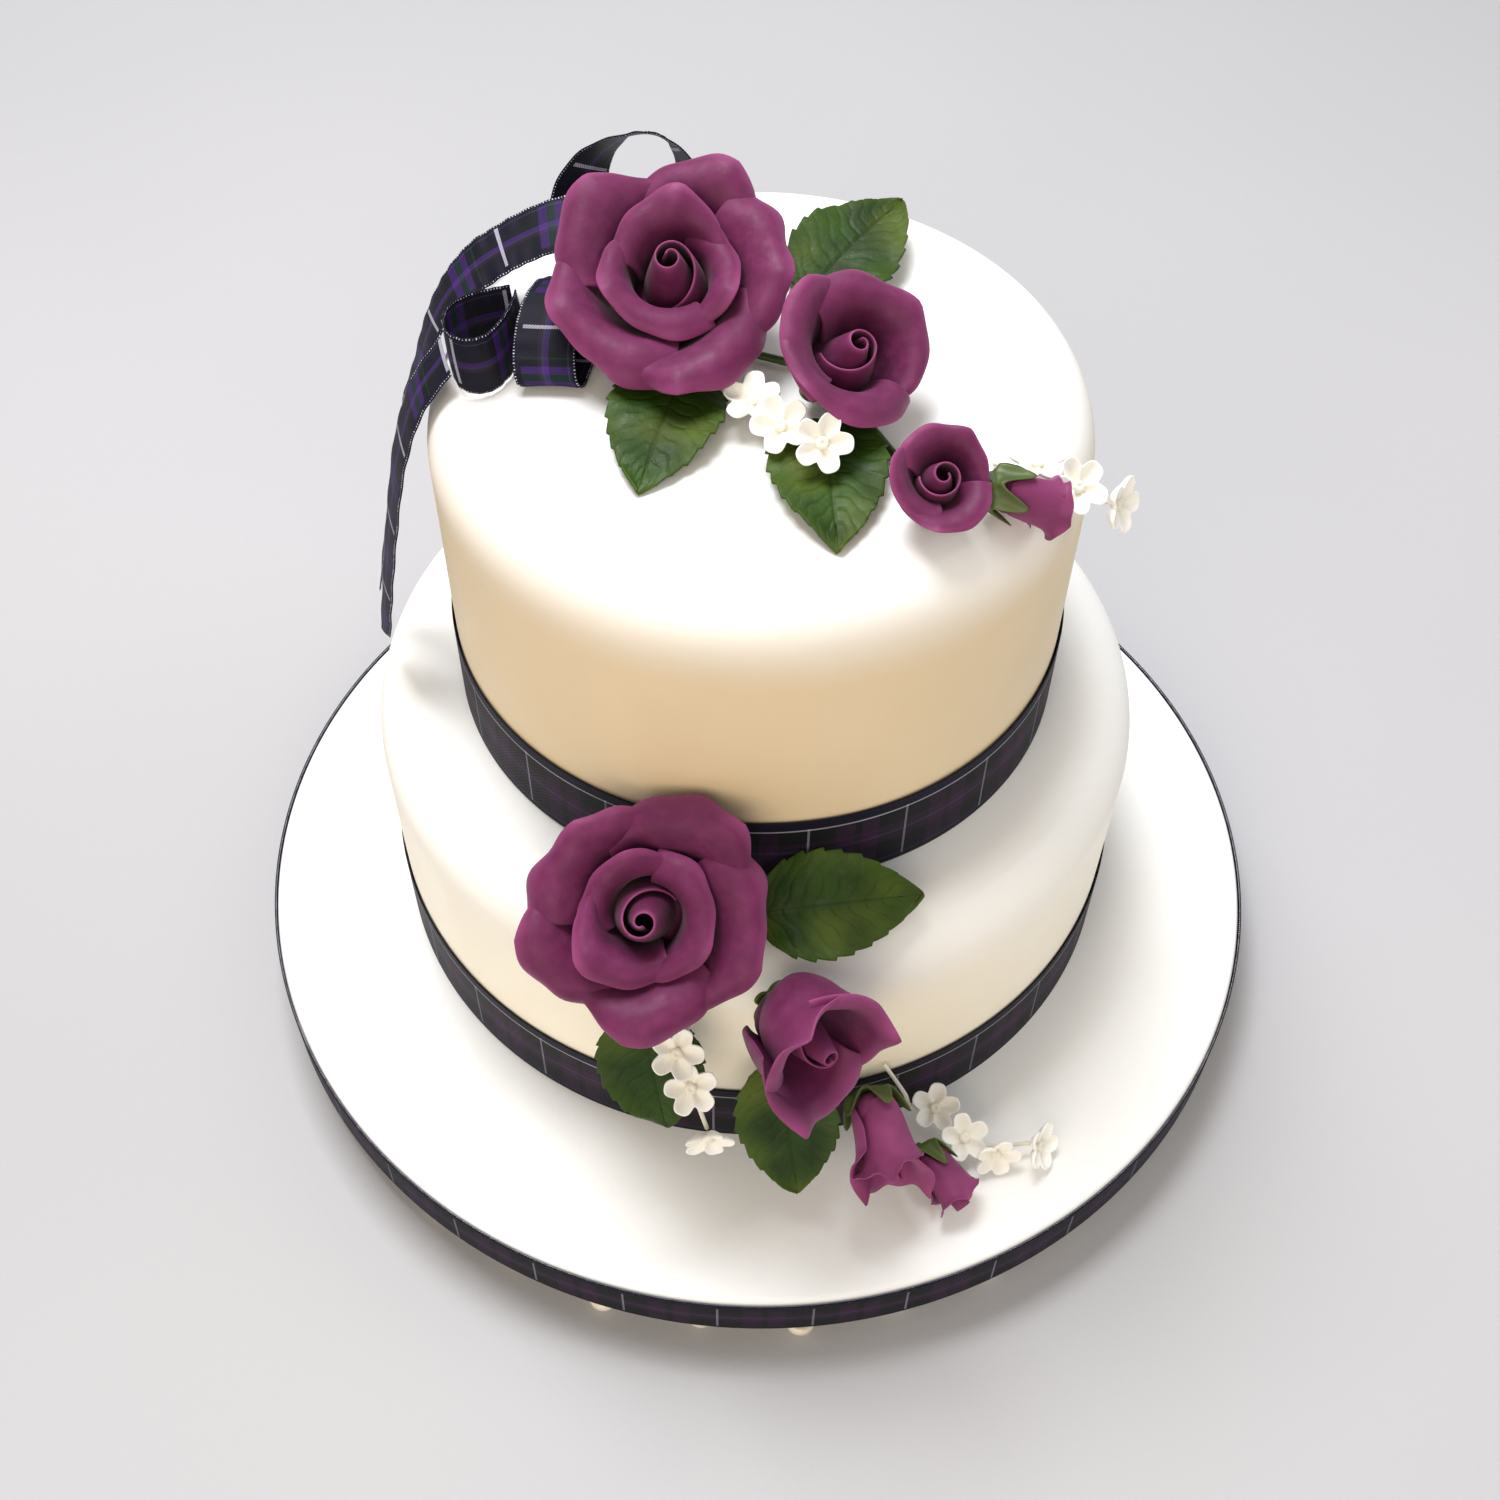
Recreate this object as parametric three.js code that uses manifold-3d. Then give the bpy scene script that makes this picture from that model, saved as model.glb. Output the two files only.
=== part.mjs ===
// Two-tier iced wedding cake on its ribboned board and low lobed stand, dressed with a bow and
// two sprays of sugar roses, rosebuds, leaves and small white blossoms.
// Millimetres, +Z up. The origin is at the middle of the stand's underside, and the front is -Y.

import * as THREE from "three";
import { mergeVertices } from "three/addons/utils/BufferGeometryUtils.js";
import Module from "manifold-3d";

const wasm = await Module();
wasm.setup();

// ---------------------------------------------------------------- driving dimensions

const GAP = 0.3;                 // clearance left between pieces that rest on each other
const SIDES = 30;               // facets round the board and the tiers

const STAND = {
  height: 12, foot: 4, rim: 134, waist: 112, plate: 125, plateThickness: 4, forward: 12,
  lobes: 30, lobeRadius: 4.4, lobeReach: 139.4, smallLobeReach: 137.8, firstLobe: 6.4, sides: 20,
  bluntness: 0.88,               // height of a lobe's flat tip over its middle, in lobe radii
};
const BOARD = { radius: 152.4, height: 16, icing: 3.3, edge: 2.4 };
const LOWER_TIER = { radius: 108.5, height: 87, shoulder: 17, x: -2, y: 6.5 };
const UPPER_TIER = { radius: 83, height: 100, shoulder: 18, x: -2, y: 9 };
const BAND = { width: 26, boardWidth: 15, thickness: 0.6 };
const BOW_RIBBON = { width: 15, thickness: 0.8 };

const BOARD_TOP = STAND.height + BOARD.height;
const LOWER_TOP = BOARD_TOP + LOWER_TIER.height;

const COLOUR = {
  icing: 0xf6f1e6, board: 0xf4f2ee, card: 0xd8d4cc, stand: 0xe9e1cf, tartan: 0x23203a,
  petal: 0x96406f, leaf: 0x3d5424, calyx: 0x56702b, blossom: 0xf5f0e4, wire: 0xe9e2d0,
};

// ---------------------------------------------------------------- small helpers

const radians = (degrees) => (degrees * Math.PI) / 180;
const mix = (a, b, t) => a + (b - a) * t;
const point = ([x, y, z]) => new THREE.Vector3(x, y, z);

/** A repeatable number from 0 to 1 for each whole seed. */
function chance(seed) {
  const wave = Math.sin(seed * 12.9898 + 4.1414) * 43758.5453;
  return wave - Math.floor(wave);
}

/** The value at t of a line through [t, value] keys. */
function keyed(keys, t) {
  for (let i = 1; i < keys.length; i += 1) {
    const [t0, value0] = keys[i - 1];
    const [t1, value1] = keys[i];
    if (t <= t1) return mix(value0, value1, (t - t0) / (t1 - t0));
  }
  return keys[keys.length - 1][1];
}

const parts = new THREE.Group();

function addMesh(name, geometry, colour, roughness) {
  const material = new THREE.MeshStandardMaterial({ color: colour, roughness, metalness: 0 });
  const mesh = new THREE.Mesh(geometry, material);
  mesh.name = name;
  parts.add(mesh);
  return mesh;
}

/** Stands a mesh, made about its own Z axis, at a base point with that axis along `axis`. */
function stand(mesh, base, axis, spin = 0) {
  const z = point(axis).normalize();
  const x = new THREE.Vector3(1, 0, 0).addScaledVector(z, -z.x).normalize();
  const y = new THREE.Vector3().crossVectors(z, x);
  mesh.quaternion.setFromRotationMatrix(new THREE.Matrix4().makeBasis(x, y, z));
  mesh.rotateZ(radians(spin));
  mesh.position.set(...base);
}

function solidOf(geometry) {
  const bare = geometry.clone();
  bare.deleteAttribute("normal");
  bare.deleteAttribute("uv");
  const merged = mergeVertices(bare, 1e-4);
  return new wasm.Manifold(new wasm.Mesh({
    numProp: 3,
    vertProperties: Float32Array.from(merged.attributes.position.array),
    triVerts: Uint32Array.from(merged.index.array),
  }));
}

function geometryOf(solid) {
  const mesh = solid.getMesh();
  const geometry = new THREE.BufferGeometry();
  geometry.setAttribute("position", new THREE.BufferAttribute(Float32Array.from(mesh.vertProperties), 3));
  geometry.setIndex(new THREE.BufferAttribute(Uint32Array.from(mesh.triVerts), 1));
  return geometry;
}

/** Joins overlapping closed shapes into one solid, filling any hollow that joining seals. */
function joined(geometries) {
  let whole = solidOf(geometries[0]);
  for (const geometry of geometries.slice(1)) whole = whole.add(solidOf(geometry));
  const shells = whole.decompose().sort((a, b) => b.volume() - a.volume());
  return geometryOf(shells[0]);
}

/** A closed shape turned about Z from [radius, height] pairs that start and end on the axis. */
function turned(profile, sides) {
  return new THREE.LatheGeometry(profile.map(([r, z]) => new THREE.Vector2(r, z)), sides)
    .rotateX(Math.PI / 2);
}

/** The fractions from 0 to 1 that cut a length into equal steps. */
const equalSteps = (count) => Array.from({ length: count + 1 }, (_, i) => i / count);

/** A thin closed sheet about surface(u, v), u from -1 to 1 and v through the given places. */
function sheet(surface, columns, places, thickness) {
  const rows = places.length - 1;
  const step = 1e-3;
  const centre = (u, v) => point(surface(u, v));
  const normalAt = (u, v) => {
    const u0 = Math.max(-1, u - step);
    const v0 = Math.max(0, v - step);
    const alongU = centre(Math.min(1, u + step), v).sub(centre(u0, v));
    const alongV = centre(u, Math.min(1, v + step)).sub(centre(u, v0));
    return alongU.cross(alongV).normalize();
  };
  const positions = [];
  const sides = [thickness / 2, -thickness / 2];
  for (const offset of sides) {
    for (let row = 0; row <= rows; row += 1) {
      for (let column = 0; column <= columns; column += 1) {
        const u = (2 * column) / columns - 1;
        const v = places[row];
        positions.push(...centre(u, v).addScaledVector(normalAt(u, v), offset).toArray());
      }
    }
  }
  const wide = columns + 1;
  const backStart = wide * (rows + 1);
  const faces = [];
  for (let row = 0; row < rows; row += 1) {
    for (let column = 0; column < columns; column += 1) {
      const a = row * wide + column;
      const [b, c, d] = [a + 1, a + wide + 1, a + wide];
      faces.push(a, b, c, a, c, d);
      faces.push(a + backStart, c + backStart, b + backStart, a + backStart, d + backStart, c + backStart);
    }
  }
  const rim = [];
  for (let column = 0; column < columns; column += 1) rim.push(column);
  for (let row = 0; row < rows; row += 1) rim.push(row * wide + columns);
  for (let column = columns; column > 0; column -= 1) rim.push(rows * wide + column);
  for (let row = rows; row > 0; row -= 1) rim.push(row * wide);
  rim.forEach((a, i) => {
    const b = rim[(i + 1) % rim.length];
    faces.push(b, a, a + backStart, b, a + backStart, b + backStart);
  });
  const geometry = new THREE.BufferGeometry();
  geometry.setAttribute("position", new THREE.Float32BufferAttribute(positions, 3));
  geometry.setIndex(faces);
  return geometry;
}

// ---------------------------------------------------------------- stand and board

/** A low plate whose foot has a rim of round lobes, every second one a little shorter. */
function makeStand() {
  const { height, foot, rim, waist, plate, plateThickness, lobes, lobeRadius } = STAND;
  const outline = new THREE.Shape();
  for (let i = 0; i < lobes; i += 1) {
    const turn = radians(-90 + STAND.firstLobe + (i * 360) / lobes);
    const middle = (i % 2 === 0 ? STAND.lobeReach : STAND.smallLobeReach) - lobeRadius;
    for (const across of [-1, -0.5, 0.5, 1]) {
      const side = lobeRadius * across;
      const reach = Math.abs(across) === 1 ? rim : middle + lobeRadius * STAND.bluntness;
      const x = reach * Math.cos(turn) - side * Math.sin(turn);
      const y = reach * Math.sin(turn) + side * Math.cos(turn);
      if (i === 0 && across === -1) outline.moveTo(x, y);
      else outline.lineTo(x, y);
    }
  }
  const base = new THREE.ExtrudeGeometry(outline, { depth: foot, bevelEnabled: false });
  const top = height - GAP;
  const body = turned([
    [0, foot / 2], [waist, foot / 2], [waist, top - plateThickness], [plate, top - plateThickness / 2],
    [plate, top], [0, top],
  ], STAND.sides);
  const mesh = addMesh("stand", joined([base, body]), COLOUR.stand, 0.35);
  mesh.position.set(0, -STAND.forward, 0);
}

function makeBoard() {
  const low = STAND.height;
  const split = BOARD_TOP - BOARD.icing;
  const drum = turned([[0, low], [BOARD.radius, low], [BOARD.radius, split - GAP], [0, split - GAP]], SIDES);
  addMesh("board_drum", drum, COLOUR.card, 0.7);
  const { radius, edge } = BOARD;
  const inset = edge * (1 - Math.SQRT1_2);
  const icing = turned([
    [0, split], [radius, split], [radius, BOARD_TOP - edge], [radius - inset, BOARD_TOP - inset],
    [radius - edge, BOARD_TOP], [0, BOARD_TOP],
  ], SIDES);
  addMesh("board_icing", icing, COLOUR.board, 0.45);
}

// ---------------------------------------------------------------- tiers and their ribbons

/** One iced cake: an upright drum with a softly rounded top edge. */
function makeTier(name, tier, floor) {
  const { radius, height, shoulder } = tier;
  const top = floor + height;
  const profile = [[0, floor + GAP], [radius, floor + GAP], [radius, top - shoulder]];
  for (const turn of [28, 58, 90]) {
    profile.push([
      radius - shoulder + shoulder * Math.cos(radians(turn)),
      top - shoulder + shoulder * Math.sin(radians(turn)),
    ]);
  }
  profile.push([0, top]);
  const mesh = addMesh(name, turned(profile, SIDES), COLOUR.icing, 0.45);
  mesh.position.set(tier.x, tier.y, 0);
}

/** A ribbon drawn round a wall, as one closed ring. */
function makeBand(name, radius, low, width, x = 0, y = 0) {
  const inner = radius + GAP;
  const outer = inner + BAND.thickness;
  const high = low + width;
  const loop = [[inner, low], [outer, low], [outer, high], [inner, high], [inner, low]];
  const mesh = addMesh(name, turned(loop, SIDES), COLOUR.tartan, 0.8);
  mesh.position.set(x, y, 0);
}

// ---------------------------------------------------------------- sugar roses

/** Radius, height and lean along a petal's middle line. `unrolled` degrees ease the roll at its rim. */
function petalLine(petal, unrolled) {
  const steps = 24;
  const leanAt = (v) => radians(keyed(petal.lean, v) + unrolled * Math.max(0, (v - 0.6) / 0.4));
  const line = [[petal.foot[0], petal.foot[1]]];
  for (let i = 0; i < steps; i += 1) {
    const lean = leanAt((i + 0.5) / steps);
    const [r, z] = line[i];
    line.push([r + (petal.length / steps) * Math.cos(lean), z + (petal.length / steps) * Math.sin(lean)]);
  }
  return (v) => {
    const place = Math.min(v, 0.999999) * steps;
    const i = Math.floor(place);
    const [low, high] = [line[i], line[i + 1]];
    return [mix(low[0], high[0], place - i), mix(low[1], high[1], place - i), leanAt(v)];
  };
}

/**
 * A cupped petal round the flower's axis, rolled back at its rim and pinched to a corner at the
 * angle `cornerAt`. One side is tucked behind the next petal, the other lies over the one before.
 */
function petalSurface(petal, cornerAt, seed) {
  const rolled = petalLine(petal, 0);
  const eased = petalLine(petal, 30);
  const { foot, flat, tuck } = petal;
  const spread = radians(petal.spread);
  const lift = mix(-0.5, 0.5, chance(seed + 31)) * petal.uneven;
  const corner = mix(-0.22, 0.12, chance(seed + 57));
  const turn = radians(cornerAt) - corner * spread;
  return (column, v) => {
    const u = column + corner * (1 - column * column);
    const away = Math.abs(u - corner);
    const peak = petal.point * Math.max(0, 1 - away / 0.3) ** 1.4 * v ** 3;
    const size = 1 - petal.round * away ** 1.6 + peak;
    const ease = Math.exp(-((away / 0.2) ** 2)) * v ** 2;
    const [r0, z0, lean0] = rolled(v);
    const [r1, z1, lean1] = eased(v);
    const lean = mix(lean0, lean1, ease);
    const width = 0.7 + 0.3 * Math.sin((Math.PI / 2) * Math.min(1, v / 0.5));
    const round = turn + u * spread * width;
    const reach = foot[0] + size * (mix(r0, r1, ease) - foot[0]) + flat + tuck * u * Math.sin(lean);
    const height = foot[1] + size * (mix(z0, z1, ease) - foot[1]) - tuck * u * Math.cos(lean);
    return [
      reach * Math.cos(round) - flat * Math.cos(turn),
      reach * Math.sin(round) - flat * Math.sin(turn),
      height + lift * v,
    ];
  };
}

/** The rolled-up heart of a flower: one petal wound outwards, whose rim falls away at its end. */
function scrollSurface(scroll) {
  const { low, top, foot, mouth } = scroll;
  return (u, v) => {
    const along = (u + 1) / 2;
    const angle = radians(scroll.start + along * scroll.turns * 360);
    const rim = top - scroll.drop * along - scroll.fall * Math.max(0, (along - 0.7) / 0.3) ** 1.5;
    const height = mix(low, rim, v);
    const share = ((height - low) / (top - low)) ** scroll.hollow;
    const r = mix(mix(foot[0], foot[1], along), mix(mouth[0], mouth[1], along), share);
    return [r * Math.cos(angle), r * Math.sin(angle), height];
  };
}

const CORE_SIDES = 6;
const PETAL_COLUMNS = 4;
const ROLLED_ROWS = [0, 0.5, 0.78, 1];
const PLAIN_ROWS = [0, 0.7, 1];
const SCROLL_ROWS = [0, 1];

function flowerGeometry(plan) {
  const { scroll } = plan;
  const pieces = [turned(plan.core, CORE_SIDES)];
  pieces.push(sheet(scrollSurface(scroll), scroll.columns, SCROLL_ROWS, scroll.thickness));
  for (const ring of plan.rings) {
    ring.corners.forEach(([cornerAt, size], i) => {
      const surface = petalSurface({ ...ring, length: ring.length * size }, cornerAt, ring.seed + i);
      pieces.push(sheet(surface, PETAL_COLUMNS, ring.rows, ring.thickness));
    });
  }
  return joined(pieces).scale(...plan.stretch);
}

const LARGE_ROSE = {
  stretch: [0.97, 1.03, 1],
  core: [[0, 0], [5, 0.3], [9.8, 4], [10.6, 8], [9, 11.5], [0, 13]],
  scroll: {
    foot: [5.4, 9.4], mouth: [0.7, 5], hollow: 1.2, turns: -1.75, start: 165,
    low: 9, top: 28.5, drop: 2.5, fall: 10, columns: 8, thickness: 1.1,
  },
  rings: [
    {
      corners: [[82, 1.1], [209, 1.14], [338, 1]], seed: 1, foot: [8.6, 8], length: 20.5,
      spread: 93, flat: 0.5, tuck: -2, round: 0.36, point: 0.07, uneven: 2,
      lean: [[0, 72], [0.3, 88], [0.6, 74], [0.8, 20], [1, -60]], rows: PLAIN_ROWS, thickness: 1.5,
    },
    {
      corners: [[60, 1], [134, 0.98], [207, 1.06], [276, 1.1], [356, 0.97]], seed: 21,
      foot: [9.4, 5], length: 31, spread: 57, flat: 2.5, tuck: -3.2, round: 0.34,
      point: 0.055, uneven: 2.4, lean: [[0, 40], [0.25, 62], [0.55, 58], [0.75, 25], [0.9, -30], [1, -75]],
      rows: ROLLED_ROWS, thickness: 1.5,
    },
  ],
};

const MEDIUM_ROSE = {
  stretch: [1, 1, 1],
  core: [[0, 0], [3.6, 0.2], [7.4, 3.4], [8.6, 6.5], [7.4, 9.5], [0, 11]],
  scroll: {
    foot: [5, 8], mouth: [0.7, 4.6], hollow: 1.2, turns: -1.75, start: 90,
    low: 7, top: 21.5, drop: 1.5, fall: 7, columns: 8, thickness: 1,
  },
  rings: [
    {
      corners: [[42, 1], [134, 0.96], [228, 1.04]], seed: 51, foot: [6.2, 4.6], length: 23,
      spread: 92, flat: 0.5, tuck: -2.4, lean: [[0, 40], [0.3, 74], [0.6, 66], [0.8, 20], [1, -60]],
      round: 0.3, point: 0.06, uneven: 1, rows: PLAIN_ROWS, thickness: 1.4,
    },
  ],
};

/** A half-open rose whose petals stand up like a goblet. */
const GOBLET_ROSE = {
  stretch: [1, 1, 1],
  core: [[0, 0], [4, 0.2], [7.8, 3.4], [8.4, 7], [7, 10], [0, 12]],
  scroll: {
    foot: [4.6, 6.4], mouth: [0.7, 3.4], hollow: 1.2, turns: -1.6, start: 330,
    low: 8, top: 25, drop: 1.5, fall: 8, columns: 8, thickness: 1,
  },
  rings: [
    {
      corners: [[2, 1], [122, 0.96], [236, 1.04]], seed: 81, foot: [7.6, 4], length: 26,
      spread: 80, flat: 0.5, tuck: -2.4,
      lean: [[0, 40], [0.2, 66], [0.5, 84], [0.75, 76], [0.9, 30], [1, -30]],
      round: 0.3, point: 0.14, uneven: 1.5, rows: PLAIN_ROWS, thickness: 1.4,
    },
  ],
};

const SMALL_ROSE = {
  stretch: [1, 1, 1],
  core: [[0, 0], [2.6, 0.2], [4.4, 2.2], [4.6, 4.6], [0, 7]],
  scroll: {
    foot: [3.4, 5], mouth: [0.6, 4.6], hollow: 1.2, turns: -1.6, start: 30,
    low: 4, top: 13.5, drop: 1.5, fall: 3, columns: 7, thickness: 0.9,
  },
  rings: [
    {
      corners: [[62, 1], [168, 0.96], [265, 1.04]], seed: 91, foot: [3.9, 3], length: 13,
      spread: 88, flat: 0.3, tuck: -1.7, lean: [[0, 40], [0.3, 66], [0.6, 60], [0.85, 10], [1, -40]],
      round: 0.25, point: 0.08, uneven: 0.8, rows: PLAIN_ROWS, thickness: 1.1,
    },
  ],
};

/** A closed rosebud: two petals wrapped round a rolled heart. */
const SLIM_BUD = {
  stretch: [1, 1, 1],
  core: [[0, 0], [2.6, 0.3], [4.4, 2.4], [4.2, 6], [0, 9]],
  scroll: {
    foot: [2, 3.2], mouth: [1.2, 3.8], hollow: 1, turns: -1.3, start: 60,
    low: 4, top: 19, drop: 0.5, fall: 2, columns: 6, thickness: 0.9,
  },
  rings: [
    {
      corners: [[80, 1], [262, 0.86]], seed: 95, foot: [4, 2.4], length: 15, spread: 108, flat: 0,
      tuck: -0.7, lean: [[0, 76], [0.3, 86], [0.75, 82], [0.9, 50], [1, 10]],
      round: 0.04, point: 0.05, uneven: 1, rows: PLAIN_ROWS, thickness: 1,
    },
  ],
};

const FULL_BUD = {
  stretch: [1, 1, 1],
  core: [[0, 0], [3, 0.3], [5.2, 3], [5.2, 7], [0, 11]],
  scroll: {
    foot: [2.4, 4.4], mouth: [2, 5.6], hollow: 1, turns: -1.4, start: 240,
    low: 6, top: 22, drop: 1, fall: 3, columns: 8, thickness: 0.9,
  },
  rings: [
    {
      corners: [[95, 1], [215, 0.95], [335, 1.05]], seed: 101, foot: [4.7, 3], length: 24,
      spread: 84, flat: 0, tuck: -1.9, lean: [[0, 76], [0.3, 86], [0.65, 78], [0.88, 56], [1, 0]],
      round: 0.2, point: 0.12, uneven: 1.5, rows: PLAIN_ROWS, thickness: 1.2,
    },
  ],
};

function makeFlower(name, plan, base, axis, spin) {
  stand(addMesh(name, flowerGeometry(plan), COLOUR.petal, 0.75), base, axis, spin);
}

// ---------------------------------------------------------------- calyxes, leaves, blossoms

/**
 * A five-fold cap with a middle, five inner corners, a rim of five equal groups of corners and a
 * root that points back from the middle.
 */
function rosette(middle, inner, rim, thickness, root) {
  const share = rim.length;
  const positions = [];
  for (const [height, drop] of [[middle, 0], [root, thickness]]) {
    positions.push([0, 0, height]);
    for (let i = 0; i < 5; i += 1) {
      const turn = radians(72 * i);
      positions.push([inner[0] * Math.cos(turn), inner[0] * Math.sin(turn), inner[1] - drop]);
    }
    for (let i = 0; i < 5; i += 1) {
      for (const [r, z, offset] of rim) {
        const turn = radians(72 * i + offset);
        positions.push([r * Math.cos(turn), r * Math.sin(turn), z - drop]);
      }
    }
  }
  const back = positions.length / 2;
  const faces = [];
  const addBoth = (a, b, c) => faces.push(a, b, c, a + back, c + back, b + back);
  for (let i = 0; i < 5; i += 1) {
    const next = (i + 1) % 5;
    const first = 6 + i * share;
    addBoth(0, 1 + i, 1 + next);
    for (let k = 0; k < share - 1; k += 1) addBoth(1 + i, first + k, first + k + 1);
    addBoth(1 + i, first + share - 1, 1 + next);
    addBoth(first + share - 1, 6 + next * share, 1 + next);
  }
  const around = 5 * share;
  for (let k = 0; k < around; k += 1) {
    const a = 6 + k;
    const b = 6 + ((k + 1) % around);
    faces.push(a, a + back, b + back, a, b + back, b);
  }
  const geometry = new THREE.BufferGeometry();
  geometry.setAttribute("position", new THREE.Float32BufferAttribute(positions.flat(), 3));
  geometry.setIndex(faces);
  return geometry;
}

/** Five blunt sepals that hold the back of a flower. */
function makeCalyx(name, base, axis, spin, size) {
  const { cup, tip, rise, notch, blunt } = size;
  const valley = [cup + notch, -GAP + rise * 0.1, 36];
  const rim = [[tip, rise, -blunt], [tip, rise, blunt], valley];
  const geometry = rosette(-GAP, [cup, -GAP], rim, CALYX_THICKNESS, -GAP - CALYX_ROOT);
  stand(addMesh(name, geometry, COLOUR.calyx, 0.6), base, axis, spin);
}

const CALYX_THICKNESS = 1;
const CALYX_ROOT = 1.6;
const OPEN_CALYX = { cup: 3.4, tip: 9, rise: 2.2, notch: 1.4, blunt: 13 };
const SMALL_CALYX = { cup: 2.6, tip: 6.6, rise: 0.9, notch: 1, blunt: 14 };
const TUBE_CALYX = { cup: 4.9, tip: 7, rise: 8, notch: 0.8, blunt: 18 };
const WIDE_TUBE_CALYX = { cup: 5.6, tip: 10, rise: 7.5, notch: 1, blunt: 17 };

const LEAF = { width: 14.5, teeth: 4, bite: 0.12, fold: 1.6, droop: 2.2, wave: 0.9, thickness: 0.9 };

/** A pointed, toothed leaf about its midrib, from base (v = 0) to tip (v = 1). */
function leafSurface(length, seed) {
  const phase = chance(seed) * 2 * Math.PI;
  return (u, v) => {
    const outline = 2.5 * Math.sqrt(v) * (1 - v) ** 0.92;
    const place = (v * LEAF.teeth) % 1;
    const tooth = 1 - LEAF.bite * (1 - Math.abs(2 * place - 1));
    const half = Math.max(0.5, LEAF.width * outline * tooth);
    const side = Math.abs(u);
    const fold = LEAF.fold * side * outline;
    const wave = LEAF.wave * side * side * Math.sin(9 * v + phase + u);
    return [u * half, v * length, fold + wave - LEAF.droop * (2 * v - 1) ** 2];
  };
}

function makeLeaf(name, base, tip, face, seed) {
  const from = point(base);
  const along = point(tip).sub(from);
  const length = along.length();
  along.normalize();
  const up = point(face).addScaledVector(along, -point(face).dot(along)).normalize();
  const across = new THREE.Vector3().crossVectors(along, up);
  const geometry = sheet(leafSurface(length, seed), 4, equalSteps(2 * LEAF.teeth), LEAF.thickness);
  const mesh = addMesh(name, geometry, COLOUR.leaf, 0.6);
  mesh.quaternion.setFromRotationMatrix(new THREE.Matrix4().makeBasis(across, along, up));
  mesh.position.copy(from);
}

const BLOSSOM = {
  radius: 6.8, notch: 4.6, cup: 2.2, boss: 1.6, bossHeight: 1.2, thickness: 1, root: 2.2,
};
const FINE_WIRE = 0.6;           // radius of the wire that carries the blossoms

/** A small white blossom of five rounded petals round a raised middle. */
function makeBlossom(name, base, face, spin) {
  const { radius, notch, cup, boss, bossHeight, thickness, root } = BLOSSOM;
  const rim = [[radius, cup, -15], [radius, cup, 15], [notch, cup * 0.7, 36]];
  const geometry = rosette(bossHeight, [boss, 0.2], rim, thickness, -root);
  stand(addMesh(name, geometry, COLOUR.blossom, 0.7), base, face, spin);
}

// ---------------------------------------------------------------- wires and ribbon loops

function makeWire(name, places, radius, colour) {
  const curve = new THREE.CatmullRomCurve3(places.map(point), false, "centripetal");
  const section = new THREE.Shape();
  for (let i = 0; i < 5; i += 1) {
    const angle = radians(72 * i);
    const corner = [radius * Math.cos(angle), radius * Math.sin(angle)];
    if (i === 0) section.moveTo(...corner);
    else section.lineTo(...corner);
  }
  const steps = 2 * (places.length - 1);
  const geometry = new THREE.ExtrudeGeometry(section, { steps, extrudePath: curve, bevelEnabled: false });
  addMesh(name, geometry, colour, 0.7);
}

/** Blossoms carried on one fine wire that leads in, then runs close behind each of them. */
function makeSpray(name, leadIn, blossoms) {
  const places = [...leadIn];
  blossoms.forEach(([base, face, spin], i) => {
    makeBlossom(`${name}_blossom_${i + 1}`, base, face, spin);
    const behind = point(face).normalize().multiplyScalar(-BLOSSOM.root - GAP - FINE_WIRE);
    places.push(point(base).add(behind).toArray());
  });
  makeWire(`${name}_wire`, places, FINE_WIRE, COLOUR.wire);
}

/** A length of ribbon along a route of [middle, direction across the ribbon] pairs. */
function makeRibbon(name, route, steps, pointed = 0) {
  const middle = new THREE.CatmullRomCurve3(route.map(([place]) => point(place)), false, "centripetal");
  const across = new THREE.CatmullRomCurve3(route.map(([, side]) => point(side)), false, "centripetal");
  const surface = (u, v) => {
    const slant = pointed * (u - 1) * 0.5 * v ** 6;
    const place = middle.getPoint(v + slant * 0.1);
    const side = across.getPoint(v).normalize();
    return place.addScaledVector(side, u * (BOW_RIBBON.width / 2)).toArray();
  };
  const geometry = sheet(surface, 2, equalSteps(steps), BOW_RIBBON.thickness);
  addMesh(name, geometry, COLOUR.tartan, 0.8);
}

// ---------------------------------------------------------------- assembly

makeStand();
makeBoard();
makeBand("board_ribbon", BOARD.radius, STAND.height + 0.4, BAND.boardWidth);
makeTier("tier_lower", LOWER_TIER, BOARD_TOP);
makeBand("tier_lower_ribbon", LOWER_TIER.radius, BOARD_TOP + GAP, BAND.width, LOWER_TIER.x, LOWER_TIER.y);
makeTier("tier_upper", UPPER_TIER, LOWER_TOP);
makeBand("tier_upper_ribbon", UPPER_TIER.radius, LOWER_TOP + GAP, BAND.width, UPPER_TIER.x, UPPER_TIER.y);

// The spray on the top tier.
const TOP_MEDIUM_BASE = [13.6, -1.2, 218.9];
const TOP_MEDIUM_AXIS = [0.33, -0.34, 0.88];
const TOP_SMALL_BASE = [36.8, -36.5, 218.6];
const TOP_SMALL_AXIS = [0.15, -0.5, 0.85];
const TOP_BUD_BASE = [50.3, -39, 222.4];
const TOP_BUD_AXIS = [0.93, 0, -0.36];
makeFlower("top_rose_large", LARGE_ROSE, [-23.5, 24.8, 217.9], [-0.02, -0.4, 0.916], 0);
makeFlower("top_rose_medium", MEDIUM_ROSE, TOP_MEDIUM_BASE, TOP_MEDIUM_AXIS, 0);
makeFlower("top_rose_small", SMALL_ROSE, TOP_SMALL_BASE, TOP_SMALL_AXIS, 0);
makeFlower("top_bud", SLIM_BUD, TOP_BUD_BASE, TOP_BUD_AXIS, 0);
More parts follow.
